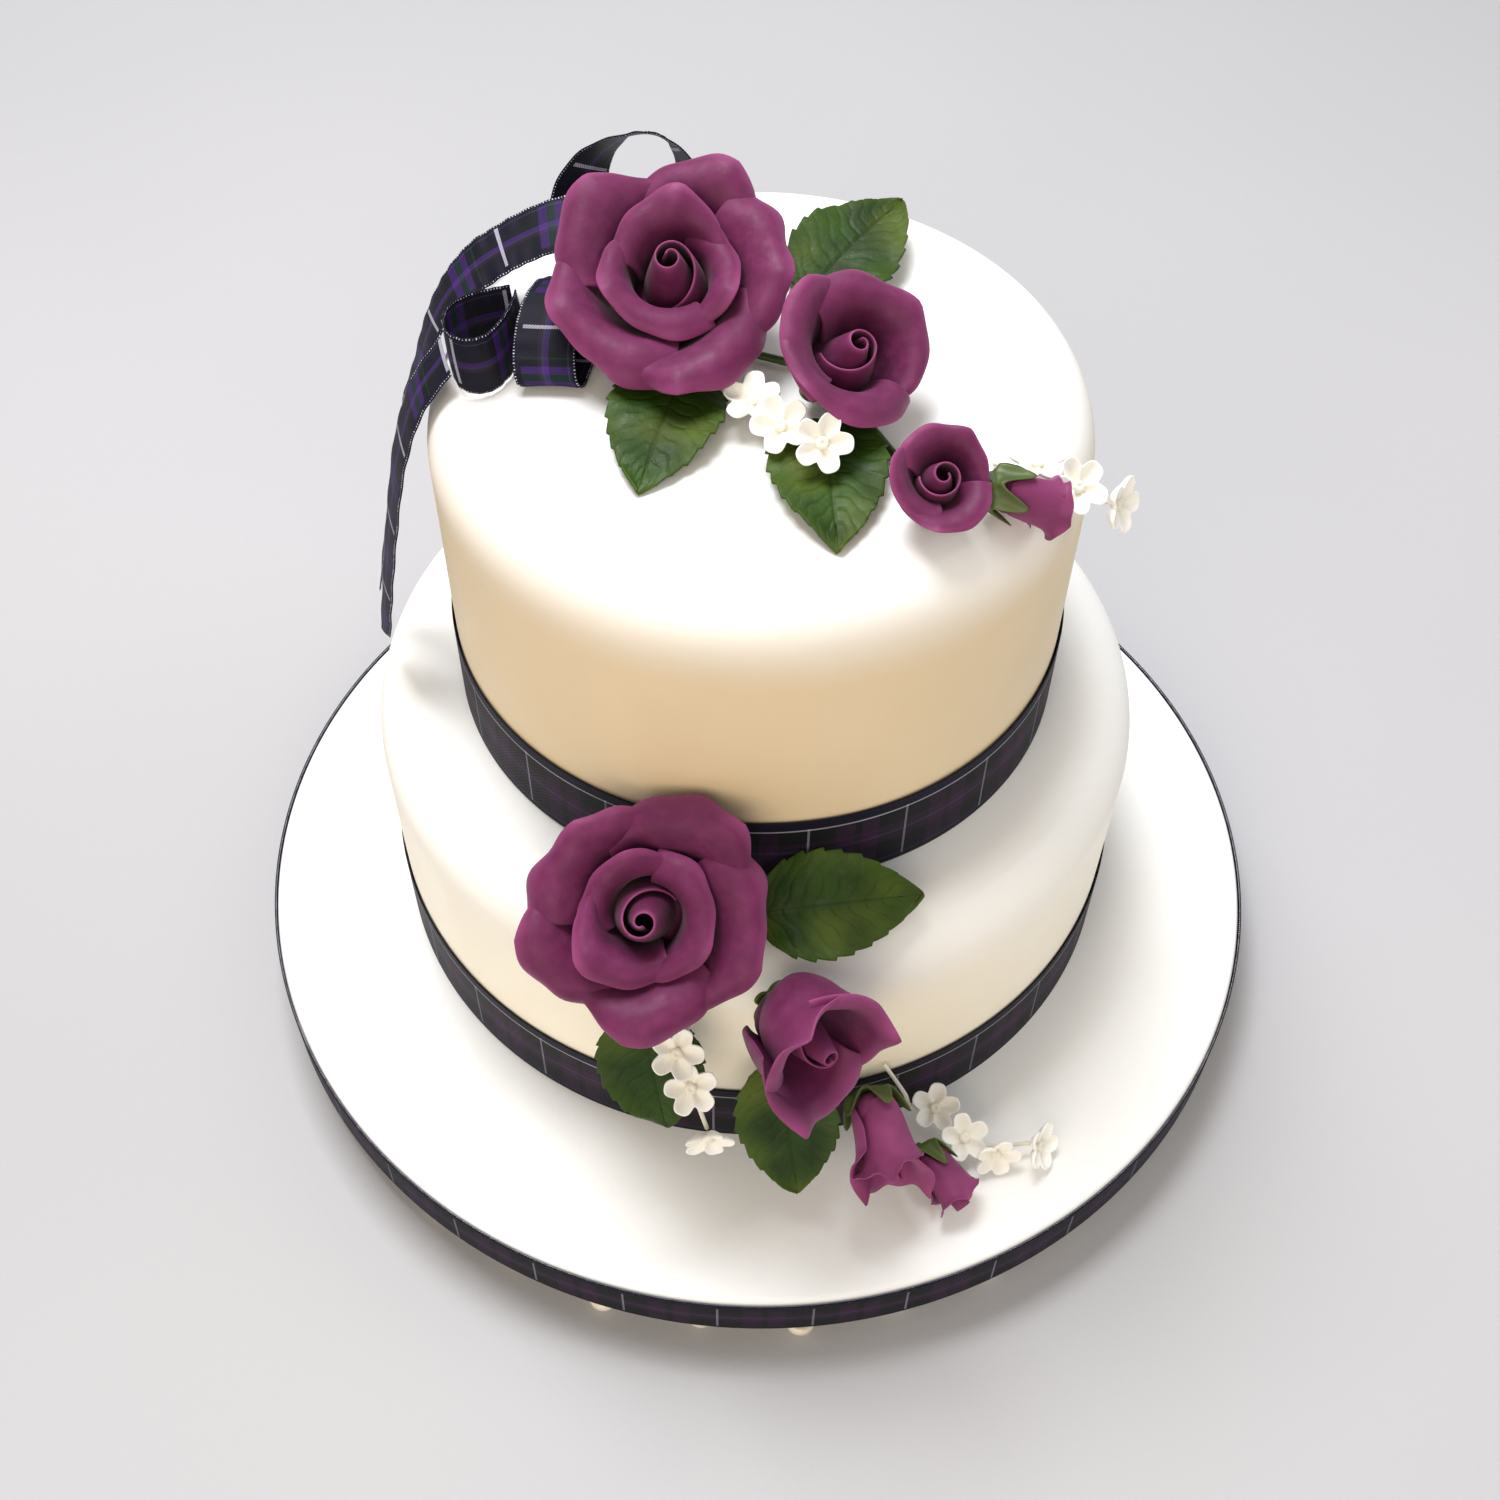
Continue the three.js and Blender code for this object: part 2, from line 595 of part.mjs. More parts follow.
makeCalyx("top_rose_medium_calyx", TOP_MEDIUM_BASE, TOP_MEDIUM_AXIS, 0, OPEN_CALYX);
makeCalyx("top_rose_small_calyx", TOP_SMALL_BASE, TOP_SMALL_AXIS, 10, SMALL_CALYX);
makeCalyx("top_bud_calyx", TOP_BUD_BASE, TOP_BUD_AXIS, 0, TUBE_CALYX);
makeLeaf("top_leaf_back", [8, 33, 218.3], [33, 64, 226], [0, -0.25, 0.97], 3);
makeLeaf("top_leaf_left", [-20.5, 3, 219.5], [-29.5, -37, 218], [0, -0.1, 1], 4);
makeLeaf("top_leaf_front", [12, -13, 219.5], [16, -54, 218], [0, -0.1, 1], 5);
makeWire("top_twig_left", [[-11, 14, 216.5], [4, 9, 216.5], [9, 7, 216.5]], 1, COLOUR.calyx);
makeWire("top_twig_right", [[21.5, -9, 216.5], [27, -19, 216.5], [32, -28, 216.5]], 1, COLOUR.calyx);
makeSpray("top_left", [[-5, -1, 216.2]], [
  [[-4, -11.6, 222.2], [-0.2, -0.2, 0.96], 10],
  [[2.6, -22.6, 224.6], [-0.1, -0.6, 0.8], 40],
  [[12, -29.6, 225.8], [0.15, -0.7, 0.7], 0],
]);
makeSpray("top_right", [[52, -24.5, 216]], [
  [[61.6, -26.2, 218.3], [0, -0.1, 0.99], 20],
  [[71.2, -29.5, 214.2], [0.3, -0.5, 0.8], 50],
  [[82, -27.4, 207], [0.8, -0.5, 0.3], 0],
]);

// The bow beside the large rose on the top tier.
const KNOT = { place: [-57.9, 18.9, 218.9], radius: 3.4 };
const knot = new THREE.SphereGeometry(KNOT.radius, 6, 4);
addMesh("bow_knot", knot, COLOUR.tartan, 0.8).position.set(...KNOT.place);
const SIDEWAYS = [1, 0, 0];
const UPRIGHT = [-0.1, 0.15, 0.98];
const SLANTED = [-0.33, 0.92, 0.2];
const HANGING = [-0.21, 0.97, -0.1];
const DRAPED = [-0.29, 0.957, 0];
makeRibbon("bow_loop_front", [
  [[-46, 31, 224], [1, 0.1, 0]], [[-49.5, 23.5, 228.5], [1, 0.1, 0]], [[-52, 14.5, 229], SIDEWAYS],
  [[-53.3, 7, 227], SIDEWAYS], [[-53.7, 0.8, 223], SIDEWAYS], [[-53, -3, 219.2], SIDEWAYS],
  [[-52, -1.6, 216.3], SIDEWAYS], [[-50.5, 6, 216], SIDEWAYS], [[-49, 13, 216.4], SIDEWAYS],
], 12);
makeRibbon("bow_loop_left", [
  [-60.6, 15.6, 223], [-61.6, 9, 223], [-63.6, 3, 223], [-66.5, -1.6, 223], [-70.5, -3, 223],
  [-74.6, -1, 223], [-76.6, 4, 223], [-75.6, 9.5, 223], [-71.5, 13.5, 223], [-66.5, 15.8, 223],
  [-62.2, 17.2, 223],
].map((place) => [place, UPRIGHT]), 14);
makeRibbon("bow_loop_back", [
  [[-46, 41, 216.6], [0.99, 0.11, 0.08]], [[-49, 51, 230], [0.95, 0.25, -0.12]],
  [[-45, 57.5, 239.5], [0.45, 0.65, -0.6]], [[-36, 59.5, 245], [0, 0.83, -0.55]],
  [[-28, 59.5, 244.5], [-0.05, 0.83, -0.55]], [[-21, 57, 236], [-0.5, 0.75, -0.4]],
  [[-17, 55, 216.6], [-0.85, 0.5, 0.1]],
], 12);
makeRibbon("bow_tail_long", [
  [[-41.5, 37, 235], [-0.1, 0.93, 0.35]], [[-47, 35.4, 236.6], [-0.13, 0.93, 0.35]],
  [[-53.5, 34, 236], [-0.13, 0.93, 0.35]], [[-61, 33, 233], [-0.2, 0.93, 0.3]],
  [[-67, 31.6, 230], SLANTED], [[-72.5, 30, 226.7], SLANTED], [[-77.4, 28, 222.7], [-0.35, 0.92, 0.05]],
  [[-81.1, 26, 218.4], [-0.36, 0.92, -0.1]], [[-85.4, 24, 210.3], [-0.34, 0.92, -0.2]],
  [[-89.3, 22, 199.7], [-0.3, 0.93, -0.22]], [[-93.9, 19.5, 188], [-0.25, 0.95, -0.18]],
  [[-98.5, 16.5, 168], HANGING], [[-103.5, 12.5, 148], HANGING], [[-108, 8.5, 125], HANGING],
], 14, 1);
makeRibbon("bow_tail_short", [
  [-78.3, 6.8, 218], [-85.8, 3, 208.5], [-91.5, 0, 194], [-96.5, -2, 172], [-101, -4, 148], [-105, -5, 124],
].map((place) => [place, DRAPED]), 10, 1);

// The spray that falls over the front edge of the lower tier.
const LOW_MEDIUM_BASE = [4.5, -106.5, 110];
const LOW_MEDIUM_AXIS = [0.566, -0.784, 0.246];
const LOW_BUD_UPPER_BASE = [32.3, -102, 53.2];
const LOW_BUD_UPPER_AXIS = [0.224, -0.969, -0.099];
const LOW_BUD_LOWER_BASE = [47.6, -111, 38];
const LOW_BUD_LOWER_AXIS = [0.62, -0.76, -0.2];
makeFlower("low_rose_large", LARGE_ROSE, [-27, -83.2, 117.7], [-0.02, -0.68, 0.73], 130);
makeFlower("low_rose_medium", GOBLET_ROSE, LOW_MEDIUM_BASE, LOW_MEDIUM_AXIS, 0);
makeFlower("low_bud_upper", FULL_BUD, LOW_BUD_UPPER_BASE, LOW_BUD_UPPER_AXIS, 0);
makeFlower("low_bud_lower", SLIM_BUD, LOW_BUD_LOWER_BASE, LOW_BUD_LOWER_AXIS, 0);
makeCalyx("low_rose_medium_calyx", LOW_MEDIUM_BASE, LOW_MEDIUM_AXIS, 0, SMALL_CALYX);
makeCalyx("low_bud_upper_calyx", LOW_BUD_UPPER_BASE, LOW_BUD_UPPER_AXIS, 0, WIDE_TUBE_CALYX);
makeCalyx("low_bud_lower_calyx", LOW_BUD_LOWER_BASE, LOW_BUD_LOWER_AXIS, 0, TUBE_CALYX);
makeLeaf("low_leaf_right", [0, -88, 122.2], [42, -82.5, 124.2], [0, -0.5, 0.87], 6);
makeLeaf("low_leaf_left", [-29, -105.4, 101], [-22.5, -121, 66], [0, -0.85, 0.5], 7);
makeLeaf("low_leaf_front", [7, -107.5, 79], [13, -127.5, 42], [0, -0.85, 0.5], 8);
makeSpray("low_left", [[-9, -101.9, 106]], [
  [[-19.3, -115.5, 99], [0.1, -0.7, 0.7], 0],
  [[-15.7, -120, 89], [0.1, -0.7, 0.7], 30],
  [[-11.5, -120, 60.5], [0.15, -0.95, -0.1], 0],
]);
makeSpray("low_right", [[36, -96.4, 60], [43, -95, 41], [46, -95, 32.6]], [
  [[52, -96.5, 35.5], [0, -0.3, 0.9], 10],
  [[60, -105, 34.5], [0.1, -0.4, 0.9], 30],
  [[68.6, -110, 35], [0.2, -0.8, 0.2], 0],
  [[81, -107, 35], [0.7, -0.4, 0.4], 0],
]);

export default parts;
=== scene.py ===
"""A two-tier iced wedding cake with sugar roses, tartan ribbon, its board and its lobed stand."""

import math

import bpy
import numpy as np
from mathutils import Matrix, Vector


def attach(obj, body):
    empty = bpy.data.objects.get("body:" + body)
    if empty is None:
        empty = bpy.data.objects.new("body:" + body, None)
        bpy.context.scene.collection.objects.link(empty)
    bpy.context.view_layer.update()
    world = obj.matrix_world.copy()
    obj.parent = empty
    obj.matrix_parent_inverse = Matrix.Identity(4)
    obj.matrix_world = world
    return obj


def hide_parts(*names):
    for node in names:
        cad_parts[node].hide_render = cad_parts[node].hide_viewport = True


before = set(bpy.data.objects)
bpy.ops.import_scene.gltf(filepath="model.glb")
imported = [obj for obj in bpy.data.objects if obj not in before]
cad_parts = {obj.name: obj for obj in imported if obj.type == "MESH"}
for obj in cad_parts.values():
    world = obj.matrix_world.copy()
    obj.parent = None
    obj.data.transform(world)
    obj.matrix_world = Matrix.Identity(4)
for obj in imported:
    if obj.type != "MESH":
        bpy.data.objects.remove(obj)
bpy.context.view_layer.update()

# Sizes and places are in millimetres, and angles in degrees, unless a comment says otherwise.
MM = 0.001
GAP = 0.3                        # clearance between pieces that rest on each other
STAND = {"height": 12, "foot": 4, "bore": 100, "rim": 134, "waist": 112, "plate": 125,
         "plate_thickness": 4, "forward": 12, "lobes": 30, "lobe_radius": 4.4, "reach": 139.4,
         "small_reach": 137.8, "first_lobe": 6.4, "round": 1.2}
BOARD = {"radius": 152.4, "height": 16, "icing": 3.3, "edge": 2.4, "blunt": 0.8}
LOWER_TIER = {"radius": 108.5, "height": 87, "shoulder": 17, "centre": (-2, 6.5)}
UPPER_TIER = {"radius": 83, "height": 100, "shoulder": 18, "centre": (-2, 9)}
BAND = {"width": 26, "board_width": 15, "thickness": 0.4, "overlap": 14, "start": 100}
BOW = {"width": 15, "thickness": 0.4, "cup": 0.35, "wave": 0.12, "slant": 0.05}
KNOT = {"place": (-57.9, 18.9, 218.9), "radius": 2.9, "half": 3.9, "turns": 1.05, "ribbon": 10}
BOARD_TOP = STAND["height"] + BOARD["height"]
LOWER_TOP = BOARD_TOP + LOWER_TIER["height"]
UPPER_TOP = LOWER_TOP + UPPER_TIER["height"]


# ---- camera, lights and floor

def linked(name, data):
    """A new object of the scene, made of the data."""
    made = bpy.data.objects.new(name, data)
    bpy.context.scene.collection.objects.link(made)
    return made


def make_camera():
    data = bpy.data.cameras.new("camera")
    data.lens = 43.54
    data.sensor_width = 36
    data.clip_start = 0.01
    place = (0, -0.33551, 0.50437)
    right = Vector((0.99967, 0.02335, 0.01049))
    up = Vector((-0.02485, 0.78737, 0.61598))
    back = Vector((0.00612, -0.61604, 0.78769))
    camera = linked("camera", data)
    camera.matrix_world = Matrix.Translation(place) @ Matrix((right, up, back)).transposed().to_4x4()
    bpy.context.scene.camera = camera


def make_lamp(name, place, size, power, colour):
    data = bpy.data.lights.new(name, "AREA")
    data.size = size
    data.energy = power
    data.color = colour
    lamp = linked(name, data)
    lamp.location = place
    cake_middle = Vector((0, 0, 0.1))
    lamp.rotation_euler = (cake_middle - lamp.location).to_track_quat("-Z", "Y").to_euler()


def make_surroundings():
    make_lamp("ceiling_lamp", (-0.3, 0.4, 1.5), 0.7, 26, (0.98, 0.99, 1))
    make_lamp("window", (1.5, 0.2, 0.9), 1.0, 6, (0.9, 0.95, 1))
    make_lamp("room_fill", (-0.35, -1.6, 0.9), 1.6, 19.5, (1, 0.88, 0.71))
    world = bpy.data.worlds.new("pale_room")
    world.use_nodes = True
    light = world.node_tree.nodes["Background"].inputs
    light["Color"].default_value = (1, 0.96, 0.9, 1)
    light["Strength"].default_value = 0.38
    bpy.context.scene.world = world
    bpy.context.scene.view_settings.view_transform = "Standard"
    mesh = bpy.data.meshes.new("floor")
    reach = 4
    corners = [(x, y, 0) for x, y in ((-reach, -reach), (reach, -reach), (reach, reach), (-reach, reach))]
    mesh.from_pydata(corners, [], [(0, 1, 2, 3)])
    mesh.materials.append(floor_finish())
    linked("floor", mesh)


# ---- finishes

def connect(tree, value, socket):
    """Gives a socket its value, which may be the output of another node."""
    if isinstance(value, bpy.types.NodeSocket):
        tree.links.new(value, socket)
    else:
        socket.default_value = value


def add_node(tree, kind, values=(), **settings):
    """A new node with its settings and the values of its inputs."""
    made = tree.nodes.new(kind)
    for key, value in settings.items():
        setattr(made, key, value)
    for key, value in dict(values).items():
        connect(tree, value, made.inputs[key])
    return made


class Finish:
    """A material under construction, with short calls for its nodes. Its lengths are in metres."""

    def __init__(self, name, roughness=0.5, sockets=()):
        self.material = bpy.data.materials.new(name)
        self.material.use_nodes = True
        self.tree = self.material.node_tree
        self.surface = self.tree.nodes["Principled BSDF"].inputs
        for socket, value in {"Roughness": roughness, **dict(sockets)}.items():
            self.surface[socket].default_value = value
        self.object_places = self.node("ShaderNodeTexCoord").outputs["Object"]

    def node(self, kind, values=(), **settings):
        return add_node(self.tree, kind, values, **settings)

    def give(self, socket, value):
        connect(self.tree, value, self.surface[socket])

    def noise(self, scale, detail=2):
        values = {"Vector": self.object_places, "Scale": scale, "Detail": detail}
        return self.node("ShaderNodeTexNoise", values).outputs["Fac"]

    def math(self, operation, first, second=0.0):
        return self.node("ShaderNodeMath", {0: first, 1: second}, operation=operation).outputs[0]

    def remap(self, value, low, high, to_low=0.0, to_high=1.0):
        return self.node("ShaderNodeMapRange", {
            "Value": value, "From Min": low, "From Max": high, "To Min": to_low, "To Max": to_high,
        }, interpolation_type="SMOOTHSTEP").outputs["Result"]

    def blend(self, share, first, second):
        return self.node("ShaderNodeMix", {0: share, 6: first, 7: second}, data_type="RGBA").outputs[2]

    def tint(self, ground, colour, value, low=0.3, high=0.7, most=1.0):
        """The ground with a colour over it wherever a value is high, up to a share of most."""
        return self.blend(self.remap(value, low, high, 0, most), ground, colour)

    def ramp(self, value, stops, interpolation="LINEAR"):
        made = self.node("ShaderNodeValToRGB", {"Fac": value})
        made.color_ramp.interpolation = interpolation
        elements = made.color_ramp.elements
        while len(elements) < len(stops):
            elements.new(1)
        for element, (place, colour) in zip(elements, stops):
            element.position = place
            element.color = colour
        return made.outputs["Color"]

    def attribute(self, name):
        return self.node("ShaderNodeAttribute", attribute_name=name).outputs["Fac"]

    def colour(self, value):
        self.give("Base Color", value)

    def rough(self, noise, low, high):
        self.give("Roughness", self.remap(noise, 0.3, 0.7, low, high))

    def grain(self, coarse, fine, share):
        """A coarse noise with a share of a fine one on it."""
        return self.math("ADD", coarse, self.math("MULTIPLY", fine, share))

    def bump(self, height, distance, strength):
        made = self.node("ShaderNodeBump", {"Height": height, "Distance": distance, "Strength": strength})
        self.give("Normal", made.outputs["Normal"])
        return self.material


def shade(red, green, blue):
    """A colour from 0 to 255 in the screen's scale, as the linear one that a finish takes."""
    return (*(
        c / 12.92 if c <= 0.04045 else ((c + 0.055) / 1.055) ** 2.4
        for c in (red / 255, green / 255, blue / 255)
    ), 1)


def paste(weight, radius, depth):
    """The sockets that let a little light into sugar paste."""
    return {"Subsurface Weight": weight, "Subsurface Radius": radius, "Subsurface Scale": depth}


def floor_finish():
    made = Finish("pale_floor", 0.7)
    made.colour(made.blend(made.noise(3), shade(178, 178, 184), shade(188, 187, 190)))
    return made.bump(made.noise(400), 0.0003, 0.3)


# Painted light: the white that the top of each icing fades into, where the lamps above light it most.
PAINTED_TOP_LIGHT = shade(246, 246, 246)
TOP_LIGHT_DEPTH = 26                      # how far down the painted light that whitens a top fades into the colour of a wall


def icing_finish(name, pale, warm, top):
    """Rolled icing, satin with a faint orange-peel, mottled at random between two ivories, with painted light
    whitening its top and the upper part of its walls.
    """
    made = Finish(name, sockets={"Specular IOR Level": 0.4, **paste(0.12, (1, 0.7, 0.45), 0.004)})
    walls = made.tint(pale, warm, made.noise(14, 3))
    height = made.node("ShaderNodeSeparateXYZ", {"Vector": made.object_places}).outputs["Z"]
    # Painted light: the icing whitens towards its top by height, standing in for the light from above.
    made.colour(made.tint(walls, PAINTED_TOP_LIGHT, height, (top - TOP_LIGHT_DEPTH) * MM, top * MM))
    made.rough(made.noise(45, 3), 0.38, 0.5)
    return made.bump(made.grain(made.noise(160), made.noise(1100), 0.25), 0.00012, 0.6)


def petal_finish():
    """Plum sugar paste with a dusty coat of petal powder, ramped from painted shade at the feet of the
    petals, in their hollows, to a paler rim that paints the light on the rolled edges.
    """
    made = Finish("plum_sugar_paste", sockets={
        "Specular IOR Level": 0.24, "Sheen Weight": 0.06, "Sheen Roughness": 0.5,
        **paste(0.08, (1, 0.35, 0.5), 0.0015),
    })
    # Painted shade and light: darkest at each petal's foot and in a flower's core, where the hollows lie, and
    # palest on the rim, where it catches the light.
    body = made.ramp(made.attribute("rim"), [
        (0, shade(44, 8, 32)), (0.35, shade(70, 18, 52)), (0.62, shade(92, 28, 69)),
        (0.9, shade(106, 34, 80)), (1, shade(150, 68, 120)),
    ])
    body = made.tint(body, shade(134, 54, 104), made.noise(260, 4), 0.35, 0.75, 0.35)
    made.colour(made.tint(body, shade(72, 18, 50), made.noise(60), most=0.35))
    made.rough(made.noise(300, 3), 0.48, 0.66)
    return made.bump(made.grain(made.noise(900, 3), made.noise(3200), 0.35), 0.00012, 0.55)


def leaf_finish():
    """Leaf-green sugar paste in uneven greens, with painted highlights in yellowish patches and painted shade
    in the veins that the veiner pressed in.
    """
    made = Finish("leaf_sugar_paste", sockets={"Specular IOR Level": 0.2})
    base = made.tint(shade(28, 50, 10), shade(46, 74, 18), made.noise(70, 3))
    # Painted highlights: yellowish patches at random, standing in for the light and glare on the leaves.
    base = made.tint(base, shade(98, 110, 38), made.noise(30), 0.5, 0.7, 0.6)
    base = made.tint(base, shade(74, 94, 32), made.attribute("rim"), 0.5, 1, 0.3)
    # Painted shade: darker along the pressed-in veins, where shade falls in the grooves.
    made.colour(made.tint(base, shade(24, 38, 10), made.attribute("vein"), 0.2, 1, 0.6))
    made.rough(made.noise(220, 3), 0.42, 0.62)
    return made.bump(made.grain(made.noise(420, 3), made.noise(1500, 3), 0.4), 0.0003, 0.6)


def calyx_finish():
    made = Finish("calyx_sugar_paste", 0.45)
    base = made.tint(shade(48, 68, 22), shade(70, 90, 34), made.noise(120, 3))
    made.colour(made.tint(base, shade(98, 112, 50), made.attribute("rim"), 0.4, 1, 0.3))
    return made.bump(made.noise(900, 3), 0.00012, 0.5)


def blossom_finish():
    made = Finish("white_sugar_paste", sockets=paste(0.15, (1, 0.8, 0.6), 0.0015))
    # Painted shade: cream towards the middle of each blossom, where its petals cup, and on its heart and
    # root, whiter out to the rims.
    made.colour(made.ramp(made.attribute("rim"), [
        (0, shade(222, 208, 174)), (0.35, shade(242, 239, 228)), (1, shade(252, 251, 248)),
    ]))
    made.rough(made.noise(500), 0.48, 0.62)
    return made.bump(made.noise(1500), 0.0001, 0.5)


def wire_finish():
    """Florist's wire wound in white paper tape, whose turns show as fine rings."""
    made = Finish("paper_wound_wire", 0.8)
    turns = made.node("ShaderNodeTexWave", {
        "Vector": made.object_places, "Scale": 900, "Distortion": 3, "Detail": 2,
    }).outputs["Fac"]
    made.colour(made.blend(turns, shade(226, 220, 204), shade(244, 240, 230)))
    return made.bump(turns, 0.00008, 0.6)


def stand_finish():
    """White glaze, a little creamy where it pools."""
    made = Finish("white_glaze", sockets={"Coat Weight": 0.4, "Coat Roughness": 0.12})
    made.colour(made.tint(shade(240, 234, 218), shade(228, 216, 192), made.noise(40, 3), 0.35))
    made.rough(made.noise(200), 0.18, 0.32)
    return made.bump(made.noise(90), 0.0002, 0.25)


def board_finish():
    """Pressed cake board with silver paper on it."""
    made = Finish("board_paper")
    fibre = made.noise(700, 4)
    made.colour(made.tint(shade(196, 194, 190), shade(216, 214, 210), fibre))
    made.rough(fibre, 0.42, 0.6)
    return made.bump(fibre, 0.0001, 0.5)


def thread_finish():
    made = Finish("white_thread", 0.6, {"Sheen Weight": 0.2})
    made.colour(made.blend(made.noise(2000), shade(178, 180, 206), shade(222, 222, 236)))
    return made.bump(made.noise(6000), 0.00005, 0.5)


NAVY = shade(10, 10, 30)
BLACK_GREEN = shade(12, 16, 18)
FOREST = shade(14, 50, 38)
PLUM = shade(48, 22, 52)
VIOLET = shade(66, 32, 112)
SLATE = shade(60, 58, 92)
WHITE_THREAD = shade(206, 206, 224)
PALE_THREAD = shade(150, 148, 168)

# Each stripe of a sett starts at its share of the ribbon's width (warp) or of the repeat (weft).
REPEAT = 26.2                    # length of one repeat of the sett along a ribbon
THREAD_PITCH = 0.32
SELVEDGE = (0.125, 0.925)        # the weft stripes show between these shares of the width
BAND_WARP = [
    (0, NAVY), (0.13, WHITE_THREAD), (0.15, BLACK_GREEN), (0.36, PLUM), (0.475, SLATE), (0.505, PLUM),
    (0.62, BLACK_GREEN), (0.72, NAVY), (0.9, SLATE), (0.92, NAVY),
]
BAND_WEFT = [
    (0, PALE_THREAD), (0.022, BLACK_GREEN), (0.28, PLUM), (0.47, BLACK_GREEN), (0.54, PLUM),
    (0.72, BLACK_GREEN),
]
BOARD_WARP = [
    (0, NAVY), (0.14, BLACK_GREEN), (0.36, PLUM), (0.47, SLATE), (0.52, PLUM), (0.66, BLACK_GREEN),
    (0.86, NAVY),
]
BOW_WARP = [
    (0, NAVY), (0.3, BLACK_GREEN), (0.4, PLUM), (0.46, SLATE), (0.49, VIOLET), (0.57, BLACK_GREEN),
    (0.7, NAVY), (0.87, SLATE), (0.89, NAVY),
]
BOW_WEFT = [
    (0, WHITE_THREAD), (0.034, NAVY), (0.24, BLACK_GREEN), (0.3, FOREST), (0.32, BLACK_GREEN),
    (0.385, VIOLET), (0.455, FOREST), (0.525, VIOLET), (0.61, BLACK_GREEN), (0.78, NAVY),
]


def tartan_finish(name, warp, weft, width):
    """Woven tartan: warp stripes along the ribbon and weft stripes across it, in a fine twill."""
    made = Finish(name, sockets={"Specular IOR Level": 0.16})
    places = made.node("ShaderNodeUVMap", uv_map="cloth").outputs["UV"]
    x, y = made.node("ShaderNodeSeparateXYZ", {"Vector": places}).outputs[:2]
    across = made.math("DIVIDE", x, width * MM)
    along = made.math("FRACT", made.math("DIVIDE", y, REPEAT * MM))
    twill, ribs = (
        made.math("PINGPONG", made.math("DIVIDE", way, THREAD_PITCH * MM), 1.0)
        for way in (made.math("ADD", x, y), y)
    )
    past_first, before_last = (
        made.math(side, across, edge) for side, edge in zip(("GREATER_THAN", "LESS_THAN"), SELVEDGE)
    )
    inside = made.math("MULTIPLY", past_first, before_last)
    share = made.math("MULTIPLY", made.remap(twill, 0.3, 0.7, 0.2, 0.8), inside)
    cloth = made.blend(share, made.ramp(across, warp, "CONSTANT"), made.ramp(along, weft, "CONSTANT"))
    made.colour(made.tint(cloth, shade(34, 28, 38), made.noise(90), most=0.2))
    made.give("Roughness", made.remap(twill, 0, 1, 0.5, 0.7))
    return made.bump(made.grain(twill, ribs, 0.6), 0.00006, 0.6)


# ---- shells
# A shell is a dictionary of points, quads (faces), triangles (caps) and layers of values at the points.

def mix(a, b, t):
    return a + (b - a) * t


def chance(seed):
    """A repeatable number from 0 to 1 for each whole seed."""
    wave = math.sin(seed * 12.9898 + 4.1414) * 43758.5453
    return wave - math.floor(wave)


def unit(v):
    v = np.asarray(v, float)
    return v / np.maximum(np.linalg.norm(v, axis=-1, keepdims=True), 1e-9)


def bell(distance, width):
    return np.exp(-((distance / width) ** 2))


def circle(count):
    """Even directions all round, in radians."""
    return np.linspace(0, 2 * math.pi, count, endpoint=False)


def polar(r, angle, z):
    """Points at a distance r and a height z about the Z axis."""
    return np.stack(np.broadcast_arrays(r * np.cos(angle), r * np.sin(angle), z), -1)


def tube_faces(rows, sides, closed=False):
    """Quads between rings of points, and from the last ring to the first where it is closed."""
    spot = np.arange(rows * sides).reshape(rows, sides)
    beyond = np.roll(spot, -1, 0)
    if not closed:
        spot, beyond = spot[:-1], beyond[:-1]
    return np.stack([spot, np.roll(spot, -1, 1), np.roll(beyond, -1, 1), beyond], -1).reshape(-1, 4)


def fan(middle, ring, flipped=False):
    """Triangles between a middle point and a ring of points."""
    following = np.roll(ring, -1)
    first, second = (following, ring) if flipped else (ring, following)
    return np.stack([np.full(len(ring), middle), first, second], -1)


def rim_places(low, count, rim):
    """Even places from low to 1, with finer ones at both ends, where a rim is rounded over."""
    fine = rim * np.array([0.07, 0.28, 0.6])
    return np.concatenate([[low], low + fine, np.linspace(low + rim, 1 - rim, count), 1 - fine[::-1], [1]])


def rounding(places, rim):
    """The share of its thickness that a sheet has at each place, round at both ends."""
    depth = np.minimum(np.minimum(places - places[0], places[-1] - places) / rim, 1)
    return np.sqrt(np.maximum(0, 1 - (1 - depth) ** 2))


